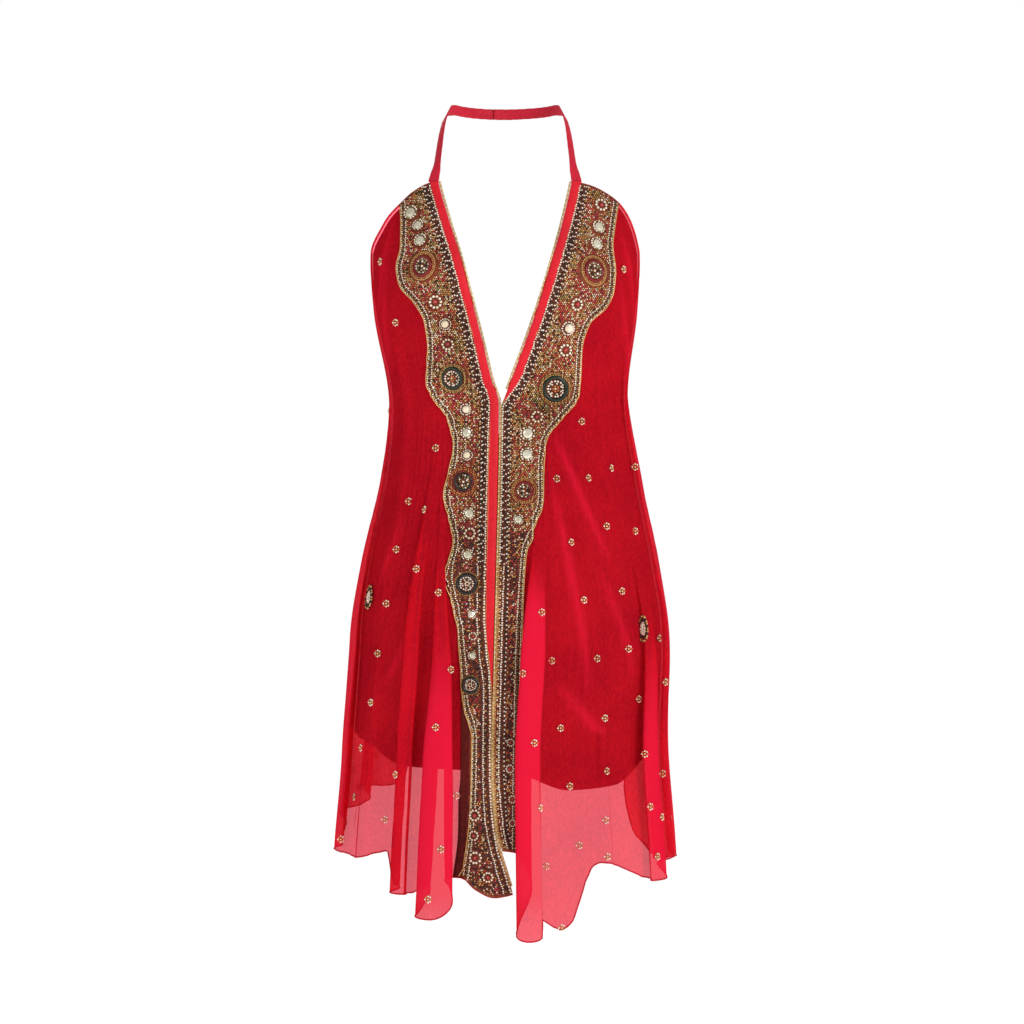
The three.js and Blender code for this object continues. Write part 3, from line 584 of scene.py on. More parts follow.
def sheet_object(name: str, grid: Array, finish: Finish, crest: Array | None = None) -> bpy.types.Object:
    """Makes one layer of cloth from a grid of points, with UVs in the cloth's own sizes.

    Args:
        name: The piece's name.
        grid: Points in rows that run down.
        finish: The cloth.
        crest: Strength of the painted highlight at each point, from 0 to 1, highest on a fold's crest.

    Returns:
        The object.
    """
    rows, columns = grid.shape[:2]
    made = new_object(name, grid.reshape(-1, 3), grid_faces(rows, columns), [finish])
    wide = np.linalg.norm(np.diff(grid, axis=1, prepend=grid[:, :1]), axis=-1).cumsum(axis=1)
    tall = np.linalg.norm(np.diff(grid, axis=0, prepend=grid[:1]), axis=-1).cumsum(axis=0)
    uv = (np.stack([wide, -tall], axis=-1) * MM).reshape(-1, 2)
    layer = made.data.uv_layers.new(name="cloth")
    corner = np.empty(len(made.data.loops), int)
    made.data.loops.foreach_get("vertex_index", corner)
    layer.data.foreach_set("uv", uv[corner].ravel())
    # The painted highlight's strength, stored as an attribute that the material reads.
    if crest is not None:
        made.data.attributes.new("crest", "FLOAT", "POINT").data.foreach_set("value", crest.ravel())
    return made


def edge_cords(angle: Array, z: Array, names: tuple[str, str], node: str) -> list[bpy.types.Object]:
    """Makes the rolled hem and the bound top edge of a georgette panel.

    Args:
        angle: Angles of the panel's points, in rows that run down.
        z: Their heights.
        names: The names of the hem's piece and of the top edge's.
        node: The panel's node.

    Returns:
        The two pieces.
    """
    made = []
    for row, name, radius, finish in ((-1, names[0], 0.9, ROLL), (0, names[1], 1.3, BINDING)):
        path, facing = BODY.cloth(angle[row], z[row]), BODY.normal(angle[row], z[row])
        points, faces = tube_points(path, facing, radius, 6)
        made.append(place(new_object(name, points, faces, [finish]), node))
    return made


def shell_object(name: str, outer: Array, inner: Array, finish: Finish) -> bpy.types.Object:
    """Makes a closed wall between two grids of the same shape.

    Args:
        name: The piece's name.
        outer: Points of its outer face.
        inner: Points of its inner face.
        finish: Its finish.

    Returns:
        The object.
    """
    rows, columns = outer.shape[:2]
    count = rows * columns
    faces = grid_faces(rows, columns) + grid_faces(rows, columns, count, True)
    ids = np.arange(count).reshape(rows, columns)
    rim = np.concatenate([ids[0, :-1], ids[:-1, -1], ids[-1, :0:-1], ids[:0:-1, 0]])
    faces += [(int(a), int(b), int(b) + count, int(a) + count) for a, b in zip(rim, np.roll(rim, -1))]
    return new_object(name, np.concatenate([outer.reshape(-1, 3), inner.reshape(-1, 3)]), faces, [finish])


def tube_points(path: Array, facing: Array, radius: float, sides: int) -> tuple[Array, list[tuple[int, ...]]]:
    """Points and faces of a round cord along a path.

    Args:
        path: Points of its centre line.
        facing: A direction at each of them, or one for all, that the path never runs along.
        radius: Its radius.
        sides: How many sides it has.

    Returns:
        The points and the faces, with both ends shut.
    """
    ahead = np.gradient(path, axis=0)
    ahead /= np.linalg.norm(ahead, axis=1, keepdims=True)
    side = np.cross(ahead, np.broadcast_to(facing, ahead.shape))
    side /= np.linalg.norm(side, axis=1, keepdims=True)
    up = np.cross(side, ahead)
    turn = 2.0 * np.pi * np.arange(sides) / sides
    ring = side[:, None] * np.cos(turn)[None, :, None] + up[:, None] * np.sin(turn)[None, :, None]
    points = (path[:, None] + radius * ring).reshape(-1, 3)
    ids = np.arange(len(points)).reshape(len(path), sides)
    faces = []
    for k in range(sides):
        near, far = ids[:, k], ids[:, (k + 1) % sides]
        faces += [tuple(f) for f in np.stack([near[:-1], far[:-1], far[1:], near[1:]], axis=-1).tolist()]
    faces += [tuple(ids[0, ::-1].tolist()), tuple(ids[-1].tolist())]
    return points, faces


# ------------------------------------------------------------------------------------------------ beads
class Bead(Enum):
    """The bead and stone shapes that are modelled once and copied."""

    SEED = "seed"
    ROUND = "round"
    STONE = "stone"
    RING = "ring"


@dataclass
class Prototypes:
    """Each bead shape, modelled with operators at unit radius, with its hole or flat side on Z."""

    shapes: dict[Bead, tuple[Array, list[tuple[int, ...]]]] = field(default_factory=dict)

    def take(self, kind: Bead) -> None:
        """Keeps the active object's mesh as a shape and removes the object."""
        made = bpy.context.active_object
        points = np.array([v.co[:] for v in made.data.vertices])
        faces = [tuple(p.vertices) for p in made.data.polygons]
        self.shapes[kind] = (points, faces)
        bpy.data.objects.remove(made, do_unlink=True)

    def build(self) -> None:
        """Models every shape."""
        bpy.ops.object.select_all(action="DESELECT")
        for kind, segments, rings, tall in ((Bead.SEED, 5, 3, 0.8), (Bead.ROUND, 8, 5, 0.75)):
            bpy.ops.mesh.primitive_uv_sphere_add(segments=segments, ring_count=rings, radius=1.0)
            flattened = (1, 0, 0, 0), (0, 1, 0, 0), (0, 0, tall, 0), (0, 0, 0, 1)
            bpy.context.active_object.data.transform(flattened)
            self.take(kind)
        bpy.ops.mesh.primitive_cylinder_add(vertices=10, radius=1.0, depth=0.4)
        self.cut_table()
        self.take(Bead.STONE)
        bpy.ops.mesh.primitive_torus_add(
            major_segments=18, minor_segments=6, major_radius=0.86, minor_radius=0.14
        )
        self.take(Bead.RING)

    def cut_table(self) -> None:
        """Insets and raises the top of the active cylinder, as a stone's crown and table are cut."""
        bpy.ops.object.mode_set(mode="EDIT")
        bpy.ops.mesh.select_all(action="DESELECT")
        bpy.ops.object.mode_set(mode="OBJECT")
        top = max(bpy.context.active_object.data.polygons, key=lambda p: p.center.z)
        top.select = True
        bpy.ops.object.mode_set(mode="EDIT")
        bpy.ops.mesh.inset(thickness=0.42, depth=0.26)
        bpy.ops.object.mode_set(mode="OBJECT")


SHAPES = Prototypes()


@dataclass
class Beadwork:
    """Beads sewn on one surface, gathered into one mesh with a material for each finish."""

    name: str
    finishes: list[Finish] = field(default_factory=list)
    points: list[Array] = field(default_factory=list)
    faces: list[tuple[int, ...]] = field(default_factory=list)
    slots: list[int] = field(default_factory=list)
    flat: list[bool] = field(default_factory=list)
    count: int = 0

    def slot(self, finish: Finish) -> int:
        """The material slot of a finish, added if it is new."""
        if finish not in self.finishes:
            self.finishes.append(finish)
        return self.finishes.index(finish)

    def sew(
        self,
        kind: Bead,
        at: Array,
        up: Array,
        radius: Array | float,
        finish: Finish,
        turn: Array | float = 0.0,
    ) -> None:
        """Adds copies of a bead.

        Args:
            kind: Its shape.
            at: Their centres, one a row.
            up: The direction that each one's flat side faces.
            radius: Their radii.
            finish: Their finish.
            turn: Their turns about `up`, in radians.
        """
        at, up = np.atleast_2d(at), np.atleast_2d(up)
        shape, faces = SHAPES.shapes[kind]
        n, size = len(at), len(shape)
        side = np.cross(up, np.array([0.31, 0.12, 0.95]))  # a direction that no surface faces
        side /= np.linalg.norm(side, axis=1, keepdims=True)
        other = np.cross(up, side)
        turn = np.broadcast_to(np.asarray(turn, float), (n,))[:, None]
        first = side * np.cos(turn) + other * np.sin(turn)
        second = np.cross(up, first)
        scaled = shape[None] * np.broadcast_to(np.asarray(radius, float), (n,))[:, None, None]
        placed = (
            at[:, None]
            + scaled[..., :1] * first[:, None]
            + scaled[..., 1:2] * second[:, None]
            + scaled[..., 2:] * up[:, None]
        )
        self.points.append(placed.reshape(-1, 3))
        for base in range(self.count, self.count + n * size, size):
            self.faces.extend(tuple(base + v for v in f) for f in faces)
        self.slots.extend([self.slot(finish)] * (n * len(faces)))
        self.flat.extend([kind is Bead.STONE] * (n * len(faces)))
        self.count += n * size

    def cord(self, path: Array, facing: Array, radius: float, finish: Finish, sides: int = 5) -> None:
        """Adds a cord along a path."""
        points, faces = tube_points(path, facing, radius, sides)
        self.faces.extend(tuple(self.count + v for v in f) for f in faces)
        self.points.append(points)
        self.slots.extend([self.slot(finish)] * len(faces))
        self.flat.extend([False] * len(faces))
        self.count += len(points)

    def finish_piece(self, node: str) -> bpy.types.Object:
        """Joins the beads into one piece that replaces a node and takes its finish from a slot."""
        made = new_object(self.name, np.concatenate(self.points), self.faces, self.finishes)
        made.data.polygons.foreach_set("material_index", np.array(self.slots, np.int32))
        made.data.polygons.foreach_set("use_smooth", ~np.array(self.flat, bool))
        return place(made, node)


# ------------------------------------------------------------------------------------------------ the fronts
class Side(Enum):
    """The wearer's sides, as the sign of x."""

    RIGHT = -1
    LEFT = 1


# Distance of the right front's centre edge from the centre line, and of the left front's above the V's point.
RIGHT_EDGE = through(
    [(-80, -82), (-97, -79), (-146, -65.5), (-194, -51), (-242, -38.5), (-290, -26), (-338, -14.5)]
    + [(-368, -5.6), (-450, -7), (-640, -11.5), (-800, -15), (-868, -11), (-898, -5), (-925, 3), (-950, 11)]
)
LEFT_NECK = through(
    [(-80, 82), (-97, 79), (-146, 68), (-194, 55), (-242, 40.5), (-290, 24), (-338, 6), (-368, -5.4)]
)
V_POINT = -368.0
CLOSED_TO = -905.0  # height down to which the fronts lie edge to edge
TIP_Z = -97.0  # height of the fronts' top corners
EDGE_INSET = 1.6  # of the cloth from the middle of the piping
SEAM_GAP = 0.3


@dataclass(frozen=True)
class Row:
    """A row of beads along an edge: its distance from it, its bead radius and its order of finishes."""

    inset: float
    radius: float
    order: tuple[Finish, ...]
    kind: Bead = Bead.SEED
    pitch: float = 2.15  # in bead radii


@dataclass(frozen=True)
class Round:
    """A ring of beads in a motif, with sizes as shares of the motif's radius."""

    at: float
    radius: float
    order: tuple[Finish, ...]
    kind: Bead = Bead.SEED


class Make(Enum):
    """The makes of round motif: the rings of beads, outside first, and the ring or stone in their middle."""

    GARNET_WHEEL = (
        Round(0.93, 0.06, (GOLD,)),
        Round(0.81, 0.062, (COPPER, COPPER, GOLD)),
        Round(0.0, 0.75, (GARNET,), Bead.RING),
        Round(0.47, 0.08, (SILVER, OLIVE)),
        Round(0.28, 0.1, (PERIDOT, JET, SILVER)),
        Round(0.0, 0.1, (CREAM,)),
    )
    BOTTLE_WHEEL = (
        Round(0.94, 0.055, (GOLD, OLIVE)),
        Round(0.84, 0.05, (GOLD,)),
        Round(0.0, 0.8, (BOTTLE,), Bead.RING),
        Round(0.47, 0.08, (SILVER,)),
        Round(0.32, 0.07, (CREAM, JET)),
        Round(0.17, 0.065, (COPPER,)),
        Round(0.0, 0.08, (CREAM,)),
    )
    JET_WHEEL = (
        Round(0.94, 0.06, (OLIVE, GOLD)),
        Round(0.0, 0.88, (JET,), Bead.RING),
        Round(0.74, 0.09, (JET,)),
        Round(0.52, 0.085, (SILVER,)),
        Round(0.34, 0.075, (SILVER, JET)),
        Round(0.15, 0.08, (CREAM,)),
    )
    COPPER_WHEEL = (
        Round(0.94, 0.06, (COPPER,)),
        Round(0.82, 0.06, (GOLD, COPPER)),
        Round(0.69, 0.065, (RUBY, MAROON)),
        Round(0.0, 0.62, (JET,), Bead.RING),
        Round(0.44, 0.08, (OLIVE, SILVER)),
        Round(0.26, 0.09, (PERIDOT, SILVER, JET)),
        Round(0.0, 0.1, (CREAM,)),
    )
    CRYSTAL_STONE = (
        Round(0.8, 0.17, (SILVER, CREAM, SILVER, OLIVE)),
        Round(0.0, 0.62, (CRYSTAL,), Bead.STONE),
    )
    PEARL_STONE = (
        Round(0.8, 0.15, (SILVER,)),
        Round(0.0, 0.62, (CREAM,), Bead.ROUND),
    )
    ROSETTE = (
        Round(0.74, 0.22, (SILVER, CREAM)),
        Round(0.0, 0.3, (RUBY,)),
    )
    FLOWER = (
        Round(0.7, 0.26, (SILVER, COPPER, CREAM)),
        Round(0.0, 0.34, (GOLD,)),
    )


@dataclass(frozen=True)
class Medallion:
    """A round motif on a border: its centre, radius and make."""

    x: float
    z: float
    radius: float
    make: Make


def motifs(*rows: tuple[float, float, float, Make]) -> tuple[Medallion, ...]:
    """Medallions from rows of their centre, radius and make."""
    return tuple(Medallion(*row) for row in rows)


STONE_LIFTS = {Bead.RING: 0.35, Bead.STONE: 0.5}  # height of a ring's or stone's middle above its ground
RING_PITCH = 2.12  # of the beads in a motif's ring, in bead radii
SINK = 0.6  # height of a bead's middle above its ground, in bead radii


def frame_of(up: Array) -> tuple[Array, Array]:
    """Level and rising directions square to `up`."""
    side = np.cross(up, np.array([0.0, 0.0, 1.0]))
    side /= np.linalg.norm(side)
    return side, np.cross(side, up)


def sew_round(
    work: Beadwork, make: Make, centre: Array, up: Array, radius: float, onto: Callable[[Array], Array]
) -> None:
    """Sews one round motif.

    Args:
        work: The beadwork that it joins.
        make: Its rings and stone.
        centre: The middle of its ground.
        up: The direction that it faces.
        radius: Its outer radius.
        onto: Moves points beside the centre onto the cloth.
    """
    side, rise = frame_of(up)
    for ring in make.value:
        size = ring.radius * radius
        if ring.at == 0.0:
            lift = STONE_LIFTS.get(ring.kind, size * SINK)
            work.sew(ring.kind, centre + up * lift, up, size, ring.order[0])
            continue
        count = max(5, round(2.0 * math.pi * ring.at * radius / (RING_PITCH * size)))
        turn = 2.0 * np.pi * np.arange(count) / count
        flat = centre + ring.at * radius * (np.cos(turn)[:, None] * side + np.sin(turn)[:, None] * rise)
        placed = onto(flat) + up * size * SINK
        for number, finish in enumerate(ring.order):
            chosen = np.arange(count) % len(ring.order) == number
            if chosen.any():
                facing = np.tile(up, (int(chosen.sum()), 1))
                work.sew(ring.kind, placed[chosen], facing, size, finish, turn[chosen])


def sew_flower(work: Beadwork, angle: float, z: float) -> None:
    """Sews one small beaded flower on the georgette."""
    up = BODY.normal(angle, z)
    sew_round(work, Make.FLOWER, BODY.cloth(angle, z) + up * 0.2, up, FLOWER_RADIUS, lambda points: points)


@dataclass
class Front:
    """One front of the dress, with its border, binding, piping and beadwork."""

    side: Side
    binding: Curve
    border: Curve
    armhole: Curve
    hem: Curve
    medallions: tuple[Medallion, ...]
    flowers: tuple[tuple[float, float], ...]
    leaf: tuple[float, float, float, float]
    rows_below: tuple[Row, ...]
    bare: Curve  # width of the plain net beyond the beads
    binding_end: float
    piping_end: float
    flat: tuple[float, float]  # width and length of the cloth it is cut from, in metres
    border_columns: int = 16
    side_columns: int = 120
    rows: int = 230

    @property
    def word(self) -> str:
        """right or left, as in the pieces' names."""
        return self.side.name.lower()

    def edge(self, z: Array) -> Array:
        """Distance of the centre edge's piping from the centre line."""
        if self.side is Side.RIGHT:
            return RIGHT_EDGE(z)
        return np.where(z > V_POINT, LEFT_NECK(z), RIGHT_EDGE(np.maximum(z, CLOSED_TO)) + SEAM_GAP)

    def cloth_edge(self, z: Array) -> Array:
        """Distance of the cloth's centre edge from the centre line."""
        return self.edge(z) + self.side.value * EDGE_INSET

    def angles(self, z: Array, share: Array) -> Array:
        """Angles at heights and shares of the front: 0 to 1 over the border, 1 to 2 over the cloth beyond.

        Args:
            z: Heights.
            share: Shares of the border, or 1 more than shares of the rest.

        Returns:
            Angles in degrees.
        """
        inner = BODY.angle_at(self.cloth_edge(z), z)
        outer = BODY.angle_at(self.border(z), z)
        end = self.side.value * 90.0
        within = inner + (outer - inner) * np.clip(share, 0.0, 1.0)
        return np.where(share <= 1.0, within, outer + (end - outer) * np.clip(share - 1.0, 0.0, 1.0))

    def limit(self, share: Array, start: float, edge_at: Curve) -> Array:
        """Heights at which columns meet an edge that depends on their own angle there."""
        z = np.full_like(share, start)
        for _ in range(6):
            z = edge_at(self.angles(z, share))
        return z

    def shares(self) -> Array:
        """Shares of the columns: through the border, then closer together over the deep folds."""
        samples = 800
        angle = np.linspace(8.0, 90.0, samples) * self.side.value
        rate = np.ones_like(angle)
        for fold in BODY.folds:
            if fold.gone is None:
                rate += 0.5 * fold.depth / fold.half_hem * (np.abs(angle - fold.end) < fold.half_hem * 1.2)
        total = np.cumsum(rate)
        wanted = np.linspace(total[0], total[-1], self.side_columns + 1)
        even = np.interp(wanted, total, np.linspace(0.0, 1.0, samples))
        return np.concatenate([np.linspace(0.0, 1.0, self.border_columns + 1), 1.0 + even[1:]])

    def grid(self) -> Array:
        """Angles and heights of the cloth's points, in rows that run down and to the wearer's left."""
        return self.band(self.shares())

    # -------------------------------------------------------------- cloth
    def build_cloth(self) -> bpy.types.Object:
        """Makes the georgette front."""
        angle, z = self.grid()
        points = BODY.cloth(angle, z)
        made = sheet_object(f"georgette_front_{self.word}", points, GEORGETTE, BODY.crest(angle, z))
        return place(made, f"front_{self.word}")

    def build_edges(self) -> list[bpy.types.Object]:
        """Makes the rolled hem and the narrow bound armhole edge."""
        names = f"hem_roll_front_{self.word}", f"armhole_roll_front_{self.word}"
        return edge_cords(*self.grid(), names, f"front_{self.word}")

    def band(self, share: Array) -> Array:
        """A grid of angles and heights from the top edge to the hem.

        Args:
            share: Shares of its columns, from the centre edge outwards.

        Returns:
            Angles and heights, stacked, in rows that run down and to the wearer's left.
        """
        top = self.limit(share, TIP_Z, lambda a: self.armhole(np.abs(a)))
        hem = self.limit(share, BODY.hem_level, self.hem)
        z = top + (hem - top) * np.linspace(0.0, 1.0, self.rows + 1)[:, None]
        grid = np.stack([self.angles(z, np.broadcast_to(share, z.shape)), z])
        return grid[:, :, ::-1] if self.side is Side.RIGHT else grid

    def binding_share(self, z: Array) -> Array:
        """Share of the border that the binding covers at a height."""
        inner = self.cloth_edge(z)
        return self.side.value * self.binding(z) / (self.border(z) - inner)

    def build_border(self) -> bpy.types.Object:
        """Makes the border's ground, padded under its medallions, with plain net where it has no beads."""
        columns, underside = 22, 0.3
        angle, z = self.band(np.linspace(0.0, 1.0, columns + 1))
        base, up = BODY.cloth(angle, z), BODY.normal(angle, z)
        lift = self.lift_at(BODY.plain(angle, z)[..., 0], z)
        outer, inner = base + up * lift[..., None], base + up * underside
        made = shell_object(f"border_ground_{self.word}", outer, inner, GROUND)
        made.data.materials.append(make_material(NET))
        for polygon in made.data.polygons:
            x, _, height = polygon.center / MM
            polygon.material_index = int(self.side.value * (x - self.beaded(np.array(height))) > 0.4)
        return place(made, f"border_{self.word}")

    def build_binding(self) -> bpy.types.Object:
        """Makes the plain folded binding, softly rounded across."""
        rows, columns = 260, 6
        z = np.linspace(TIP_Z, self.binding_end, rows + 1)[:, None]
        across = np.linspace(0.0, 1.0, columns + 1)[None]
        share = self.binding_share(z) * across
        angle = self.angles(np.broadcast_to(z, share.shape), share)
        z = np.broadcast_to(z, share.shape)
        if self.side is Side.RIGHT:
            angle, across = angle[:, ::-1], across[:, ::-1]
        base, up = BODY.cloth(angle, z), BODY.normal(angle, z)
        underside, edge, swell = 1.3, 1.6, 0.9
        lift = edge + swell * np.sin(np.pi * across) ** 0.5 + 0.0 * z
        outer, inner = base + up * lift[..., None], base + up * underside
        made = shell_object(f"binding_{self.word}_folded", outer, inner, BINDING)
        return place(made, f"binding_{self.word}")

    def lift_at(self, x: Array, z: Array) -> Array:
        """Height of the border's ground above the georgette, padded under the motifs."""
        lift = np.full_like(x, 1.2, dtype=float)
        for m in self.medallions:
            away = np.hypot(x - m.x, z - m.z) / m.radius
            padding = min(2.4, m.radius * 0.13)
            lift += np.where(away < 1.0, padding * np.sqrt(np.maximum(0.0, 1.0 - away**2)), 0.0)
        return lift

    def on_border(self, x: Array, z: Array) -> tuple[Array, Array]:
        """Points on the border's ground and the directions they face."""
        angle = BODY.angle_at(x, z)
        up = BODY.normal(angle, z)
        return BODY.cloth(angle, z) + up * self.lift_at(x, z)[..., None], up

    def inside(self, x: Array, z: Array, room: float) -> Array:
        """Whether places lie on the cloth, at least `room` from its top edge and hem."""
        angle = BODY.angle_at(x, z)
        return (z < self.armhole(np.abs(angle)) - room) & (z > self.hem(angle) + room)

    def clear(self, x: Array, z: Array, room: float) -> Array:
        """Whether places lie outside the motifs."""
        free = np.ones_like(x, bool)
        for m in self.medallions:
            free &= np.hypot(x - m.x, z - m.z) > m.radius + room
        return free

    def beside(self, edge: Curve, inward: float, step: float) -> Array:
        """Places along a line that keeps its distance from an edge.

        Args:
            edge: The edge's distance from the centre line by height.
            inward: How far the line runs to the wearer's left of the edge, in millimetres.
            step: The distance between places.

        Returns:
            Pairs of x and z, from the top down.
        """
        z = np.arange(TIP_Z, -960.0, -1.0)
        line = np.stack([edge(z), z], axis=-1)
        ahead = np.gradient(line, axis=0)
        ahead /= np.linalg.norm(ahead, axis=1, keepdims=True)
        line = line + inward * np.stack([-ahead[:, 1], ahead[:, 0]], axis=-1)
        run = np.concatenate([[0.0], np.linalg.norm(np.diff(line, axis=0), axis=1).cumsum()])
        at = np.arange(0.0, run[-1], step)
        return np.stack([np.interp(at, run, line[:, 0]), np.interp(at, run, line[:, 1])], axis=-1)

    def beaded(self, z: Array) -> Array:
        """Where the beads end beside the border's outer edge, or short of it along the plain net."""
        return self.border(z) - self.side.value * self.bare(z)

    def ground_edge(self, z: Array) -> Array:
        """Where the beads start beside the binding."""
        return self.cloth_edge(z) + self.side.value * self.binding(z)

    def sew_row(
        self, work: Beadwork, row: Row, edge: Curve, inward: float, span: tuple[float, float]
    ) -> None:
        """Sews one row of beads along an edge, between two heights, round the motifs."""
        x, z = self.beside(edge, inward * row.inset, row.pitch * row.radius).T
        keep = self.inside(x, z, 2.2) & (z < span[0]) & (z > span[1])
        keep &= self.clear(x, z, 0.4 * row.radius)
        if edge != self.beaded:
            keep &= self.side.value * (self.beaded(z) - x) > OUTSIDE_ROWS_WIDTH
        rng = np.random.default_rng(int(row.inset * 10))
        x, z = x + rng.normal(0.0, JITTER, x.size), z + rng.normal(0.0, JITTER, z.size)
        size = row.radius * rng.uniform(1.0 - SIZE_SPREAD, 1.0 + SIZE_SPREAD, x.size)
        numbers = np.arange(len(x))
        for number, finish in enumerate(row.order):
            chosen = keep & (numbers % len(row.order) == number)
            if not chosen.any():
                continue
            at, up = self.on_border(x[chosen], z[chosen])
            work.sew(row.kind, at + up * row.radius * 0.55, up, size[chosen], finish, numbers[chosen] * 1.0)

    def build_rows(self) -> bpy.types.Object:
        """Makes the rows of beads along the border's edges, and its gold cords."""
        work = Beadwork(f"beads_{self.word}_rows")
        towards = self.side.value
        for rows, edge, inward, span in (
            (ROWS_ABOVE, self.ground_edge, towards, (0.0, ROWS_CHANGE)),
            (self.rows_below, self.ground_edge, towards, (ROWS_CHANGE, -1000.0)),
            (ROWS_OUTSIDE, self.beaded, -towards, (0.0, -1000.0)),
        ):
            for row in rows:
                self.sew_row(work, row, edge, inward, span)
        cords = (self.beaded, -towards * 0.8, 0.75), (self.ground_edge, towards * 0.5, 0.5)
        for edge, inward, radius in cords:
            x, z = self.beside(edge, inward, 3.0).T
            keep = self.inside(x, z, 1.0)
            at, up = self.on_border(x[keep], z[keep])
            work.cord(at + up * radius * 0.6, up, radius, GOLD)
        return work.finish_piece(f"border_{self.word}")

    def build_field(self) -> bpy.types.Object:
        """Makes the seed beads that fill the border, in swirls of colour that darken towards the hem."""
        rng = np.random.default_rng(7 + self.side.value)
        x, z = np.meshgrid(
            np.arange(-140.0, 140.0, FIELD_PITCH), np.arange(TIP_Z, -985.0, -FIELD_PITCH * 0.87)
        )
        x = x + (np.arange(len(x))[:, None] % 2) * FIELD_PITCH / 2.0
        x, z = x.ravel() + rng.uniform(-0.3, 0.3, x.size), z.ravel() + rng.uniform(-0.3, 0.3, z.size)
        from_inner = self.side.value * (x - self.ground_edge(z))
        to_outer = self.side.value * (self.beaded(z) - x)
        slope = np.hypot(1.0, (self.beaded(z + 1.0) - self.beaded(z - 1.0)) / 2.0)
        keep = (from_inner > FIELD_ROOM[0]) & (to_outer / slope > FIELD_ROOM[1])
        keep &= self.inside(x, z, 2.6) & self.clear(x, z, 0.7)
        x, z = x[keep], z[keep]
        swirl = np.sin(x * 0.17 + 2.0 * np.sin(z * 0.05)) + np.sin(z * 0.13 + x * 0.09 + 1.0)
        dark = smooth((DARKER[0] - z) / DARKER[1]) >= 0.5
        pick = rng.random(x.size)
        gold, red = swirl > 0.9, swirl < -0.9
        places = (~gold & ~red & ~dark, gold & ~dark, red & ~dark, ~gold & dark, gold & dark)
        work = Beadwork(f"beads_{self.word}_field")
        for here, mix in zip(places, FIELD_MIXES):
            low = 0.0
            for finish, share in mix:
                chosen = here & (pick >= low) & (pick < low + share)
                low += share
                if not chosen.any():
                    continue
                at, up = self.on_border(x[chosen], z[chosen])
                radius = 1.15 * rng.uniform(0.88, 1.12, int(chosen.sum()))
                turn = rng.uniform(0.0, 3.0, int(chosen.sum()))
                work.sew(Bead.SEED, at + up * SINK, up, radius, finish, turn)
        return work.finish_piece(f"border_{self.word}")

    def build_motifs(self) -> bpy.types.Object:
        """Makes the round motifs of stones, enamel rings and beads."""
        work = Beadwork(f"beads_{self.word}_motifs")
        for m in self.medallions:
            at, up = self.on_border(np.array([float(m.x)]), np.array([float(m.z)]))

            def onto(points: Array) -> Array:
                """Moves points onto the border's ground."""
                return self.on_border(points[:, 0] + m.x - at[0, 0], points[:, 2])[0]

            sew_round(work, m.make, at[0], up[0], m.radius, onto)
        return work.finish_piece(f"border_{self.word}")

    def sew_leaf(self, work: Beadwork) -> None:
        """Sews the long leaf at the hip: three rings of beads and a short vein of silver ones."""
        x, z, half_wide, half_high = self.leaf
        angle = BODY.under(np.array([x]), np.array([z]))[0]
        centre, up = BODY.cloth(angle, z), BODY.normal(angle, z)
        side, rise = frame_of(up)
        turn = 2.0 * np.pi * np.arange(30) / 30
        narrowing = 1.0 - 0.2 * np.sin(turn)  # towards the leaf's tip
        for share, radius, order in LEAF_RINGS:
            across = half_wide * share * np.cos(turn) * narrowing
            ring = centre + across[:, None] * side + (half_high * share * np.sin(turn))[:, None] * rise
            for number, finish in enumerate(order):
                part = ring[number :: len(order)]
                work.sew(Bead.SEED, part + up * 0.8, np.tile(up, (len(part), 1)), radius, finish)
        vein = centre + (np.linspace(-0.3, 0.3, 4) * half_high)[:, None] * rise
        work.sew(Bead.SEED, vein + up * 1.2, np.tile(up, (4, 1)), 2.0, SILVER)

    def build_flowers(self) -> bpy.types.Object:
        """Makes the small beaded flowers and the leaf sewn on the georgette front."""
        work = Beadwork(f"flowers_front_{self.word}")
        self.sew_leaf(work)
        x, z = np.array(self.flowers, float).T
        for angle, height in zip(BODY.under(x, z), z):
            sew_flower(work, angle, height)
        return work.finish_piece(f"front_{self.word}")

    def build_piping(self) -> bpy.types.Object:
        """Makes the gold cord and its fine beads along the centre edge."""
        z = np.arange(TIP_Z, self.piping_end, -3.0)
        angle = BODY.angle_at(self.edge(z), z)
        path = BODY.cloth(angle, z)
        up = BODY.normal(angle, z)
        work = Beadwork(f"piping_{self.word}_beaded")
        work.cord(path, up, 1.3, GOLD, 6)
        away = np.cross(up, np.gradient(path, axis=0))
        away /= np.linalg.norm(away, axis=1, keepdims=True)
        fine = path + up * 0.9 + away * 0.1
        work.sew(Bead.SEED, fine[::2], up[::2], 1.15, GOLD)
        work.sew(Bead.SEED, fine[1::2], up[1::2], 1.15, CREAM)
        return work.finish_piece(f"piping_{self.word}")


# Shares of the field's seed beads: plain, in gold swirls and in red ones above, then two mixes below.
FIELD_MIXES = (
    ((RUBY, 0.26), (CREAM, 0.18), (GOLD, 0.24), (COPPER, 0.14), (JET, 0.08), (OLIVE, 0.1)),
    ((GOLD, 0.34), (OLIVE, 0.3), (CREAM, 0.16), (COPPER, 0.1), (JET, 0.1)),
    ((RUBY, 0.46), (COPPER, 0.18), (CREAM, 0.16), (GOLD, 0.12), (MAROON, 0.08)),
    ((MAROON, 0.46), (RUBY, 0.14), (JET, 0.14), (COPPER, 0.1), (GOLD, 0.1), (SILVER, 0.06)),
    ((MAROON, 0.3), (JET, 0.16), (GOLD, 0.28), (COPPER, 0.16), (CREAM, 0.1)),
)
FLOWER_RADIUS = 5.1
# The leaf's rings: size as a share of the leaf, bead radius and order of finishes.
LEAF_RINGS = ((1.0, 1.5, (GOLD, GOLD, JET)), (0.74, 1.6, (BOTTLE, JET)), (0.46, 1.8, (SILVER, COPPER, CREAM)))
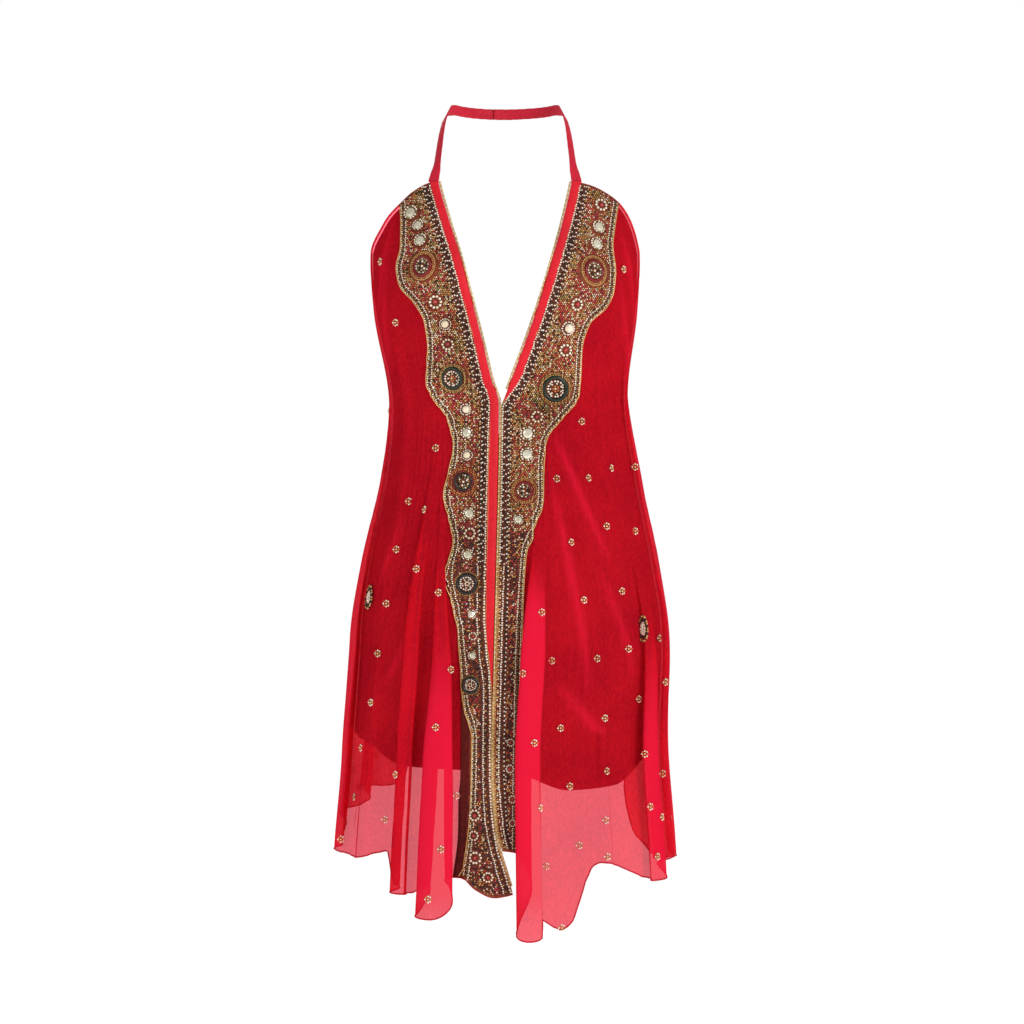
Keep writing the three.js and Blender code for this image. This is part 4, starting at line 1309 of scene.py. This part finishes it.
# Where the small beaded flowers are sewn on each front: distance from the centre line, and height.
FLOWERS_RIGHT = (
    (-151, -193), (-132, -268), (-83, -420), (-116, -484), (-97, -494), (-131, -542), (-106, -565),
    (-143, -607), (-80, -593), (-153, -667), (-65, -684), (-161, -726), (-83, -752), (-175, -782),
    (-130, -810), (-184, -842), (-59, -834), (-144, -865), (-76, -895), (-199, -893), (-90, -954),
)
FLOWERS_LEFT = (
    (143, -203), (92, -388), (62, -457), (100, -456), (128, -444), (158, -442), (122, -514), (79, -533),
    (157, -520), (140, -592), (94, -602), (44, -616), (187, -650), (148, -661), (56, -674), (110, -672),
    (22, -688), (194, -703), (161, -722), (119, -743), (66, -754), (36, -770), (168, -787), (121, -806),
    (77, -823), (191, -814), (174, -850), (42, -847), (120, -864), (189, -864), (89, -893), (122, -907),
    (50, -917), (183, -910), (67, -990),
)

# The rows beside the binding above ROWS_CHANGE, and those beside the outer edge.
ROWS_ABOVE = (
    Row(2.3, 1.35, (SILVER, CREAM)),
    Row(4.9, 1.2, (JET, SILVER, JET)),
    Row(7.3, 1.25, (JET, JET, SILVER, JET)),
    Row(9.8, 1.25, (SILVER, JET)),
    Row(12.3, 1.2, (GOLD, JET, CREAM)),
)
ROWS_OUTSIDE = (
    Row(2.4, 1.2, (SILVER, CREAM, GOLD)),
    Row(4.7, 1.05, (JET, OLIVE)),
    Row(7.0, 1.2, (CREAM, SILVER)),
)
ROWS_CHANGE = -560.0  # height at which the rows beside the binding change
OUTSIDE_ROWS_WIDTH = 8.2
JITTER = 0.22  # spread of the rows' beads about their places
SIZE_SPREAD = 0.14  # how far their sizes differ, as a share
FIELD_PITCH = 2.45  # of the seed beads between the rows
FIELD_ROOM = (13.9, 8.4)  # how far they keep from the binding and from the outer edge
DARKER = (-440.0, 160.0)  # height from which they darken, and how far down until they are dark

FRONTS = (
    Front(
        Side.RIGHT,
        binding=through([(-80, 9), (-350, 9), (-420, 10.5), (-620, 10), (-725, -0.6), (-960, -0.6)]),
        border=through(
            [(-120, -128), (-150, -126), (-176, -126), (-202, -131), (-224, -127), (-246, -109), (-268, -97)]
            + [(-300, -93), (-340, -95), (-362, -86), (-384, -70), (-416, -63), (-446, -67), (-476, -74)]
            + [(-500, -69), (-530, -63), (-572, -70), (-600, -65), (-640, -57), (-722, -52), (-766, -52.5)]
            + [(-820, -53), (-890, -52), (-940, -53)]
        ),
        armhole=through(
            [(27, -97), (33, -98.5), (43.5, -110), (50, -122), (59, -137), (70, -158), (80, -171), (90, -182)]
        ),
        hem=through(
            [(-90, -896), (-80, -904), (-61, -913), (-47, -905), (-42, -902), (-38, -940), (-33, -951)]
            + [(-29.5, -950), (-26.5, -941), (-23.5, -972), (-20, -978), (-17.2, -960), (-15.4, -938)]
            + [(-12.2, -930), (-7.8, -944), (-2.2, -954), (1, -951), (4, -945)]
        ),
        medallions=motifs(
            (-113, -136, 10, Make.CRYSTAL_STONE), (-104, -152, 8, Make.CRYSTAL_STONE),
            (-101, -171, 9, Make.CRYSTAL_STONE), (-97, -203, 18, Make.GARNET_WHEEL),
            (-82, -245, 9, Make.ROSETTE), (-71, -271, 8, Make.PEARL_STONE), (-68, -295, 8, Make.ROSETTE),
            (-62, -336, 18, Make.BOTTLE_WHEEL), (-47, -374, 8, Make.PEARL_STONE),
            (-45, -402, 8, Make.CRYSTAL_STONE), (-45, -429, 7.5, Make.PEARL_STONE),
            (-50, -461, 18, Make.COPPER_WHEEL), (-43, -499, 8, Make.CRYSTAL_STONE),
            (-41, -523, 8, Make.ROSETTE), (-45, -548, 7.5, Make.CRYSTAL_STONE),
            (-45, -583, 15, Make.JET_WHEEL), (-39, -619, 6, Make.CRYSTAL_STONE),
            (-38, -645, 5.5, Make.ROSETTE), (-39, -668, 5.5, Make.CRYSTAL_STONE),
            (-41, -703, 12, Make.JET_WHEEL), (-36, -857, 8, Make.ROSETTE), (-37, -881, 7, Make.ROSETTE),
            (-35, -907, 8.5, Make.ROSETTE), (-20, -930, 7, Make.ROSETTE),
        ),
        flowers=FLOWERS_RIGHT,
        leaf=(-165, -600, 10, 14),
        rows_below=(
            Row(2.4, 1.6, (SILVER, CREAM)),
            Row(5.4, 1.2, (JET, MAROON)),
            Row(7.8, 1.2, (MAROON, GOLD, JET)),
            Row(10.4, 1.25, (SILVER,)),
            Row(12.9, 1.2, (JET, MAROON)),
        ),
        bare=through([(-700, 0), (-722, 1), (-766, 12), (-820, 11.5), (-890, 6), (-940, 0)]),
        binding_end=-722.0,
        flat=(0.54, 0.89),
        piping_end=-943.0,
    ),
    Front(
        Side.LEFT,
        binding=through([(-80, 9), (-330, 9), (-376, -0.9), (-960, -0.9)]),
        border=through(
            [(-120, 138), (-150, 133), (-176, 130), (-206, 133), (-230, 131), (-250, 122), (-272, 101)]
            + [(-300, 93), (-340, 91), (-362, 87), (-384, 70), (-410, 51), (-440, 47), (-480, 47)]
            + [(-510, 40), (-550, 26), (-600, 23), (-700, 19.5), (-800, 17), (-900, 16)]
        ),
        armhole=through(
            [(27, -97), (33, -98.5), (40, -102), (49, -110), (59, -122), (68, -139), (76, -158), (81, -171)]
            + [(90, -182)]
        ),
        hem=through(
            [(-1, -898), (3.2, -902), (4.6, -925), (6.4, -966), (8, -998), (9.4, -1004), (10.8, -1000)]
            + [(12.2, -974), (13.8, -988), (16, -992), (20, -982)]
            + [(22, -962), (24, -940), (27, -922), (31, -914), (37, -917), (43, -924), (50, -932), (55, -938)]
            + [(61, -938), (66, -922), (72, -917), (80, -912), (90, -899)]
        ),
        medallions=motifs(
            (115, -127, 9, Make.ROSETTE), (112, -154, 9, Make.CRYSTAL_STONE),
            (109, -175, 9, Make.CRYSTAL_STONE), (105, -208, 19, Make.GARNET_WHEEL),
            (85, -248, 8.5, Make.ROSETTE), (75, -276, 9.5, Make.PEARL_STONE), (72, -302, 8.5, Make.ROSETTE),
            (60, -349, 20, Make.BOTTLE_WHEEL), (38, -383, 8, Make.ROSETTE),
            (27, -403, 9.5, Make.CRYSTAL_STONE), (26, -428, 9, Make.CRYSTAL_STONE),
            (23, -472, 16, Make.GARNET_WHEEL), (16, -506, 7, Make.CRYSTAL_STONE),
            (7, -771, 5.5, Make.ROSETTE), (6, -802, 6, Make.ROSETTE), (9, -838, 5.5, Make.ROSETTE),
            (9, -866, 5, Make.ROSETTE),
        ),
        flowers=FLOWERS_LEFT,
        leaf=(166, -637, 9, 15),
        rows_below=(
            Row(1.8, 1.2, (COPPER, GOLD)),
            Row(4.4, 1.25, (GOLD, CREAM, MAROON)),
            Row(7.2, 1.35, (SILVER,)),
            Row(9.9, 1.2, (JET,)),
            Row(12.5, 1.25, (SILVER, JET)),
        ),
        bare=through([(-960, 0), (-80, 0)]),
        binding_end=-366.0,
        flat=(0.57, 0.93),
        piping_end=-352.0,
    ),
)


# ------------------------------------------------------------------------------------------------ the back
@dataclass
class Back:
    """The low back of the georgette, from side seam to side seam."""

    flat: tuple[float, float] = (0.9, 0.73)  # width and length of the cloth it is cut from, in metres
    low: float = -400.0
    side_top: float = -182.0
    columns: int = 240
    rows: int = 170
    hem: Curve = through(
        [(90, -899), (104, -925), (121, -930), (128, -905), (133, -846), (140, -808), (157, -796)]
        + [(176, -800), (195, -794), (211, -800), (217, -826), (225, -841), (234, -842), (240, -858)]
        + [(254, -868), (262, -882), (270, -896)]
    )

    def top(self, angle: Array) -> Array:
        """Height of the back's top edge."""
        return self.low + (self.side_top - self.low) * np.abs(angle / 90.0 - 2.0) ** 2.2

    def grid(self) -> tuple[Array, Array]:
        """Angles and heights of its points."""
        angle = np.linspace(90.0, 270.0, self.columns + 1)[None]
        top, hem = self.top(angle), self.hem(angle)
        z = top + (hem - top) * np.linspace(0.0, 1.0, self.rows + 1)[:, None]
        return np.broadcast_to(angle, z.shape), z

    def build(self) -> bpy.types.Object:
        """Makes the georgette back."""
        angle, z = self.grid()
        made = sheet_object("georgette_back", BODY.cloth(angle, z), GEORGETTE, BODY.crest(angle, z))
        return place(made, "back")

    def build_edges(self) -> list[bpy.types.Object]:
        """Makes the rolled hem and the bound top edge."""
        return edge_cords(*self.grid(), ("hem_roll_back", "top_roll_back"), "back")

    def build_flowers(self) -> bpy.types.Object:
        """Makes the small beaded flowers of the back, in a half-drop pattern 48 mm wide and 72 mm high."""
        work = Beadwork("flowers_back")
        first, wide, high, room = (98.0, -372.0), 16.5, 72.0, 14.0
        for column in range(11):
            for row in range(8):
                angle = first[0] + column * wide
                z = first[1] - (row + 0.5 * (column % 2)) * high
                if self.hem(angle) + room <= z <= self.top(angle) - room:
                    sew_flower(work, angle, z)
        return work.finish_piece("back")


@dataclass
class Strap:
    """A neck strap: a folded band from a front's top corner over the shoulder to the nape."""

    front: Front
    width: float = 13.0
    thickness: float = 1.6
    rise: float = 0.6
    lap: float = 0.3
    neck_y: float = 36.0
    count: int = 110
    steps: int = 17
    # from above the seam to the nape, for the wearer's left
    line: tuple[tuple[float, float, float], ...] = (
        (83, -50, -76),
        (80.5, -35, -55),
        (78, -21, -34),
        (75.5, -11, -20),
        (72, -2, -9),
        (67, 9, -2),
        (60, 25, 0),
        (50, 42, 0),
        (34, 57, 0),
        (15, 66.5, 0),
        (0, 69, 0),
        (-15, 66.5, 0),
    )

    def corner(self) -> tuple[Array, Array]:
        """The ends of the seam on the front's top edge: the one at the neck and the one towards the arm."""
        top = np.array([TIP_Z])
        inner = BODY.cloth(self.front.angles(top, np.array([0.0])), top)[0]
        away = BODY.cloth(self.front.angles(top, np.array([0.5])), top)[0] - inner
        away[2] = 0.0
        inner = inner + np.array([0.0, 0.0, self.rise])
        return inner, inner + away / np.linalg.norm(away) * self.width

    def path(self) -> Array:
        """Evenly spaced points of the strap's centre line."""
        inner, outer = self.corner()
        side = self.front.side.value
        start = (inner + outer) / 2.0
        points = np.array([start] + [(side * x, y, z) for x, y, z in self.line], float)
        run = np.concatenate([[0.0], np.linalg.norm(np.diff(points, axis=0), axis=1).cumsum()])
        curves = [through(list(zip(run, points[:, axis]))) for axis in range(3)]
        fine = np.stack([curve(np.linspace(0.0, run[-1], 800)) for curve in curves], axis=-1)
        along = np.concatenate([[0.0], np.linalg.norm(np.diff(fine, axis=0), axis=1).cumsum()])
        even = np.linspace(0.0, along[-1], self.count)
        return np.stack([np.interp(even, along, fine[:, axis]) for axis in range(3)], axis=-1)

    def build(self) -> bpy.types.Object:
        """Makes the strap, folded double, with a shallow line of stitching along each edge."""
        side = self.front.side.value
        centre = self.path()
        ahead = np.gradient(centre, axis=0)
        ahead /= np.linalg.norm(ahead, axis=1, keepdims=True)
        out = centre - np.array([0.0, self.neck_y, 0.0])
        out[:, 2] = 0.0
        out /= np.linalg.norm(out, axis=1, keepdims=True)
        across = np.cross(ahead, out)
        across /= np.linalg.norm(across, axis=1, keepdims=True)
        inner, outer = self.corner()
        seam = (inner - outer) / self.width
        if np.dot(seam, across[0]) < 0.0:
            seam = -seam
        blend = smooth(np.linspace(0.0, 8.0, self.count))[:, None]  # out of the seam's direction
        across = seam * (1.0 - blend) + across * blend
        across /= np.linalg.norm(across, axis=1, keepdims=True)
        face = np.cross(across, ahead)
        face *= np.sign(np.sum(face * out, axis=1, keepdims=True))
        passing = smooth(4.0 * np.linspace(0.0, 1.0, self.count) - 2.4)[:, None]  # one strap inside the other
        centre = centre - out * side * (self.thickness + 2.0 * self.lap) / 2.0 * passing
        w = np.linspace(1.0, -1.0, self.steps)
        half = 0.25 + 0.55 * np.sqrt(np.maximum(0.0, 1.0 - w**4))
        stitches = 0.22 * np.exp(-(((np.abs(w) - 0.74) / 0.07) ** 2))
        half = half - stitches
        pucker = 1.0 + 0.02 * np.sin(np.arange(self.count) * 1.1)[:, None]
        flat = centre[:, None] + across[:, None] * (w[None, :, None] * self.width / 2.0 * pucker[..., None])
        grown = flat + face[:, None] * half[None, :, None]
        below = flat - face[:, None] * half[None, :, None]
        if np.sum(np.cross(np.gradient(grown, axis=0), np.gradient(grown, axis=1)) * face[:, None]) < 0.0:
            grown, below = grown[:, ::-1], below[:, ::-1]
        made = shell_object(f"neck_strap_{self.front.word}", grown, below, STRAP)
        return place(made, f"strap_{self.front.word}")


@dataclass
class Lining:
    """The shorter lining, which hangs straight inside the folds."""

    flat_front: tuple[float, float] = (0.28, 0.74)  # width and length of its pieces, in metres
    flat_back: tuple[float, float] = (0.64, 0.59)
    short: float = 2.5
    cloth: float = 1.2
    ease_top: float = 1.0
    ease_below: float = 4.0
    ripple: float = 0.8
    usual_hem: float = -800.0
    hem: Curve = through(
        [(-90, -762), (-58, -778), (-38, -800), (0, -806), (20, -828), (40, -824), (60, -796), (90, -766)]
        + [(135, -776), (180, -770), (225, -772), (270, -762)]
    )

    def points(self, angle: Array, top: Array, down: Array) -> Array:
        """Points of the lining at angles, between its top edge and its hem."""
        z = (top - self.short) + (self.hem(angle) - (top - self.short)) * down
        along = BODY.plain(angle + 0.5, z) - BODY.plain(angle - 0.5, z)
        below = BODY.plain(angle, z - 2.0) - BODY.plain(angle, z + 2.0)
        inward = np.cross(along, below)
        inward /= np.linalg.norm(inward, axis=-1, keepdims=True)
        ease = self.ease_top + (self.ease_below - self.ease_top) * np.minimum(down * 3.0, 1.0)
        ripple = self.ripple * np.sin(angle * 0.55) * down
        return BODY.plain(angle, z) + inward * (self.cloth + ease + ripple)[..., None]

    def build_front(self, front: Front) -> bpy.types.Object:
        """Makes a front's lining."""
        down = np.linspace(0.0, 1.0, 81)[:, None]
        share = np.linspace(0.0, 1.0, 61)[None]
        guess = TIP_Z + (self.usual_hem - TIP_Z) * down
        sign = front.side.value

        def angle_of(z: Array) -> Array:
            """Angles from the lining's centre edge to the side seam."""
            start = BODY.angle_at(front.cloth_edge(z) + sign * self.short, z)
            return start + (sign * 90.0 - start) * share

        top = front.armhole(np.abs(angle_of(np.full_like(share, TIP_Z))))
        angle = angle_of(guess)
        grid = self.points(angle, np.broadcast_to(top, angle.shape), np.broadcast_to(down, angle.shape))
        if front.side is Side.RIGHT:
            grid = grid[:, ::-1]
        return self.dress(grid, f"front_{front.word}")

    def build_back(self, back: Back) -> bpy.types.Object:
        """Makes the back's lining."""
        rows, columns = 71, 121
        down = np.linspace(0.0, 1.0, rows)[:, None]
        angle = np.broadcast_to(np.linspace(90.0, 270.0, columns)[None], (rows, columns))
        grid = self.points(angle, back.top(angle), np.broadcast_to(down, angle.shape))
        return self.dress(grid, "back")

    def dress(self, grid: Array, word: str) -> bpy.types.Object:
        """Makes one panel of the lining from its points."""
        made = sheet_object(f"lining_{word}_satin", grid, LINING)
        return place(made, f"lining_{word}")


# ------------------------------------------------------------------------------------------------ the set
@dataclass
class Studio:
    """The camera, the pale floor and the soft lights."""

    scale: float = 1.2  # millimetres a pixel at the plane of the dress's front
    distance: float = 4000.0
    plane: float = -100.0
    centre_x: float = 8.4
    centre_z: float = -496.8
    floor_m: float = -1.45  # height of the floor, in metres
    # name, place and aim in metres, size in metres and power in watts
    boxes: tuple[tuple[str, tuple[float, ...], tuple[float, ...], float, float], ...] = (
        ("key", (2.1, -2.6, 1.1), (0.0, 0.0, -0.45), 1.2, 62.0),
        ("fill", (-2.6, -2.0, 0.3), (0.0, 0.0, -0.5), 1.6, 16.0),
        ("back", (-0.6, 2.8, 0.8), (0.0, 0.0, -0.5), 1.6, 26.0),
    )

    def build(self) -> None:
        """Makes the camera, floor, world and lights."""
        camera = bpy.data.cameras.new("camera")
        picture = 1024 * self.scale  # what the width of the picture spans, in millimetres
        camera.sensor_width = 36.0
        camera.lens = camera.sensor_width * self.distance / picture
        camera.clip_end = 60.0
        holder = bpy.data.objects.new("camera", camera)
        holder.location = (self.centre_x * MM, (self.plane - self.distance) * MM, self.centre_z * MM)
        holder.rotation_euler = (math.radians(90.0), 0.0, 0.0)
        bpy.context.scene.collection.objects.link(holder)
        bpy.context.scene.camera = holder
        self.build_floor()
        self.build_lights()

    def build_floor(self) -> None:
        """Makes the plain pale floor."""
        bpy.ops.object.select_all(action="DESELECT")
        bpy.ops.mesh.primitive_circle_add(
            vertices=96, radius=14.0, fill_type="NGON", location=(0.0, 0.0, self.floor_m)
        )
        floor = bpy.context.active_object
        floor.name = "floor"
        pale = bpy.data.materials.new("floor_pale_paper")
        pale.use_nodes = True
        shader = pale.node_tree.nodes["Principled BSDF"]
        for socket, value in (
            ("Base Color", linear("#f7f7f7")),
            ("Roughness", 0.9),
            ("Specular IOR Level", 0.1),
            ("Emission Color", (1.0, 1.0, 1.0, 1.0)),
            ("Emission Strength", 0.62),
        ):
            shader.inputs[socket].default_value = value
        floor.data.materials.append(pale)

    def build_lights(self) -> None:
        """Makes the white world and the soft boxes."""
        world = bpy.data.worlds.new("studio")
        bpy.context.scene.world = world
        world.use_nodes = True
        tree = world.node_tree
        tree.nodes.clear()
        path = add_node(tree, "ShaderNodeLightPath")
        straight = add_node(
            tree,
            "ShaderNodeMath",
            {"operation": "MAXIMUM"},
            {0: path.outputs["Is Camera Ray"], 1: path.outputs["Is Transmission Ray"]},
        )
        seen = add_node(tree, "ShaderNodeBackground", {"Color": (1.0, 1.0, 1.0, 1.0), "Strength": 1.0})
        lit = add_node(tree, "ShaderNodeBackground", {"Color": (1.0, 0.99, 0.98, 1.0), "Strength": 0.42})
        mix = add_node(
            tree, "ShaderNodeMixShader", links={0: straight.outputs[0], 1: lit.outputs[0], 2: seen.outputs[0]}
        )
        add_node(tree, "ShaderNodeOutputWorld", links={"Surface": mix.outputs[0]})
        for name, where, aim, size, power in self.boxes:
            light = bpy.data.lights.new(name, "AREA")
            light.shape = "SQUARE"
            light.size = size
            light.energy = power
            holder = bpy.data.objects.new(name, light)
            holder.location = where
            towards = np.array(aim) - np.array(where)
            towards /= np.linalg.norm(towards)
            tilt = math.acos(-towards[2])
            holder.rotation_euler = (tilt, 0.0, math.atan2(-towards[0], towards[1]))
            bpy.context.scene.collection.objects.link(holder)
        bpy.context.scene.view_settings.view_transform = "Standard"


def declare(
    piece: bpy.types.Object, flat: tuple[float, float]
) -> None:
    """Logs a hanging panel of cloth: its name, the size of the cloth it is cut from, and its area.

    Args:
        piece: The panel.
        flat: The width and length of the rectangle that it is cut from, in metres.
    """
    area = sum(polygon.area for polygon in piece.data.polygons)
    LOG.info("%s: cut from %.2f by %.2f m, area %.3f m2", piece.name, *flat, area)


def main() -> None:
    """Builds the set and the dress, piece by piece."""
    logging.basicConfig(level=logging.INFO, format="%(message)s")
    bpy.ops.object.select_all(action="DESELECT")
    Studio().build()
    SHAPES.build()
    back = Back()
    lining = Lining()
    cloth = back.build()
    sewn = [*back.build_edges(), back.build_flowers()]
    declare(cloth, back.flat)
    inside = lining.build_back(back)
    declare(inside, lining.flat_back)
    made = [cloth, *sewn, inside]
    for front in FRONTS:
        cloth = front.build_cloth()
        sewn = [
            Strap(front).build(),
            *front.build_edges(),
            front.build_border(),
            front.build_binding(),
            front.build_piping(),
            front.build_rows(),
            front.build_field(),
            front.build_motifs(),
            front.build_flowers(),
        ]
        declare(cloth, front.flat)
        inside = lining.build_front(front)
        declare(inside, lining.flat_front)
        made += [cloth, *sewn, inside]
    for piece in made:
        LOG.info("%s: %d faces", piece.name, len(piece.data.polygons))


if __name__ == "__main__":
    main()
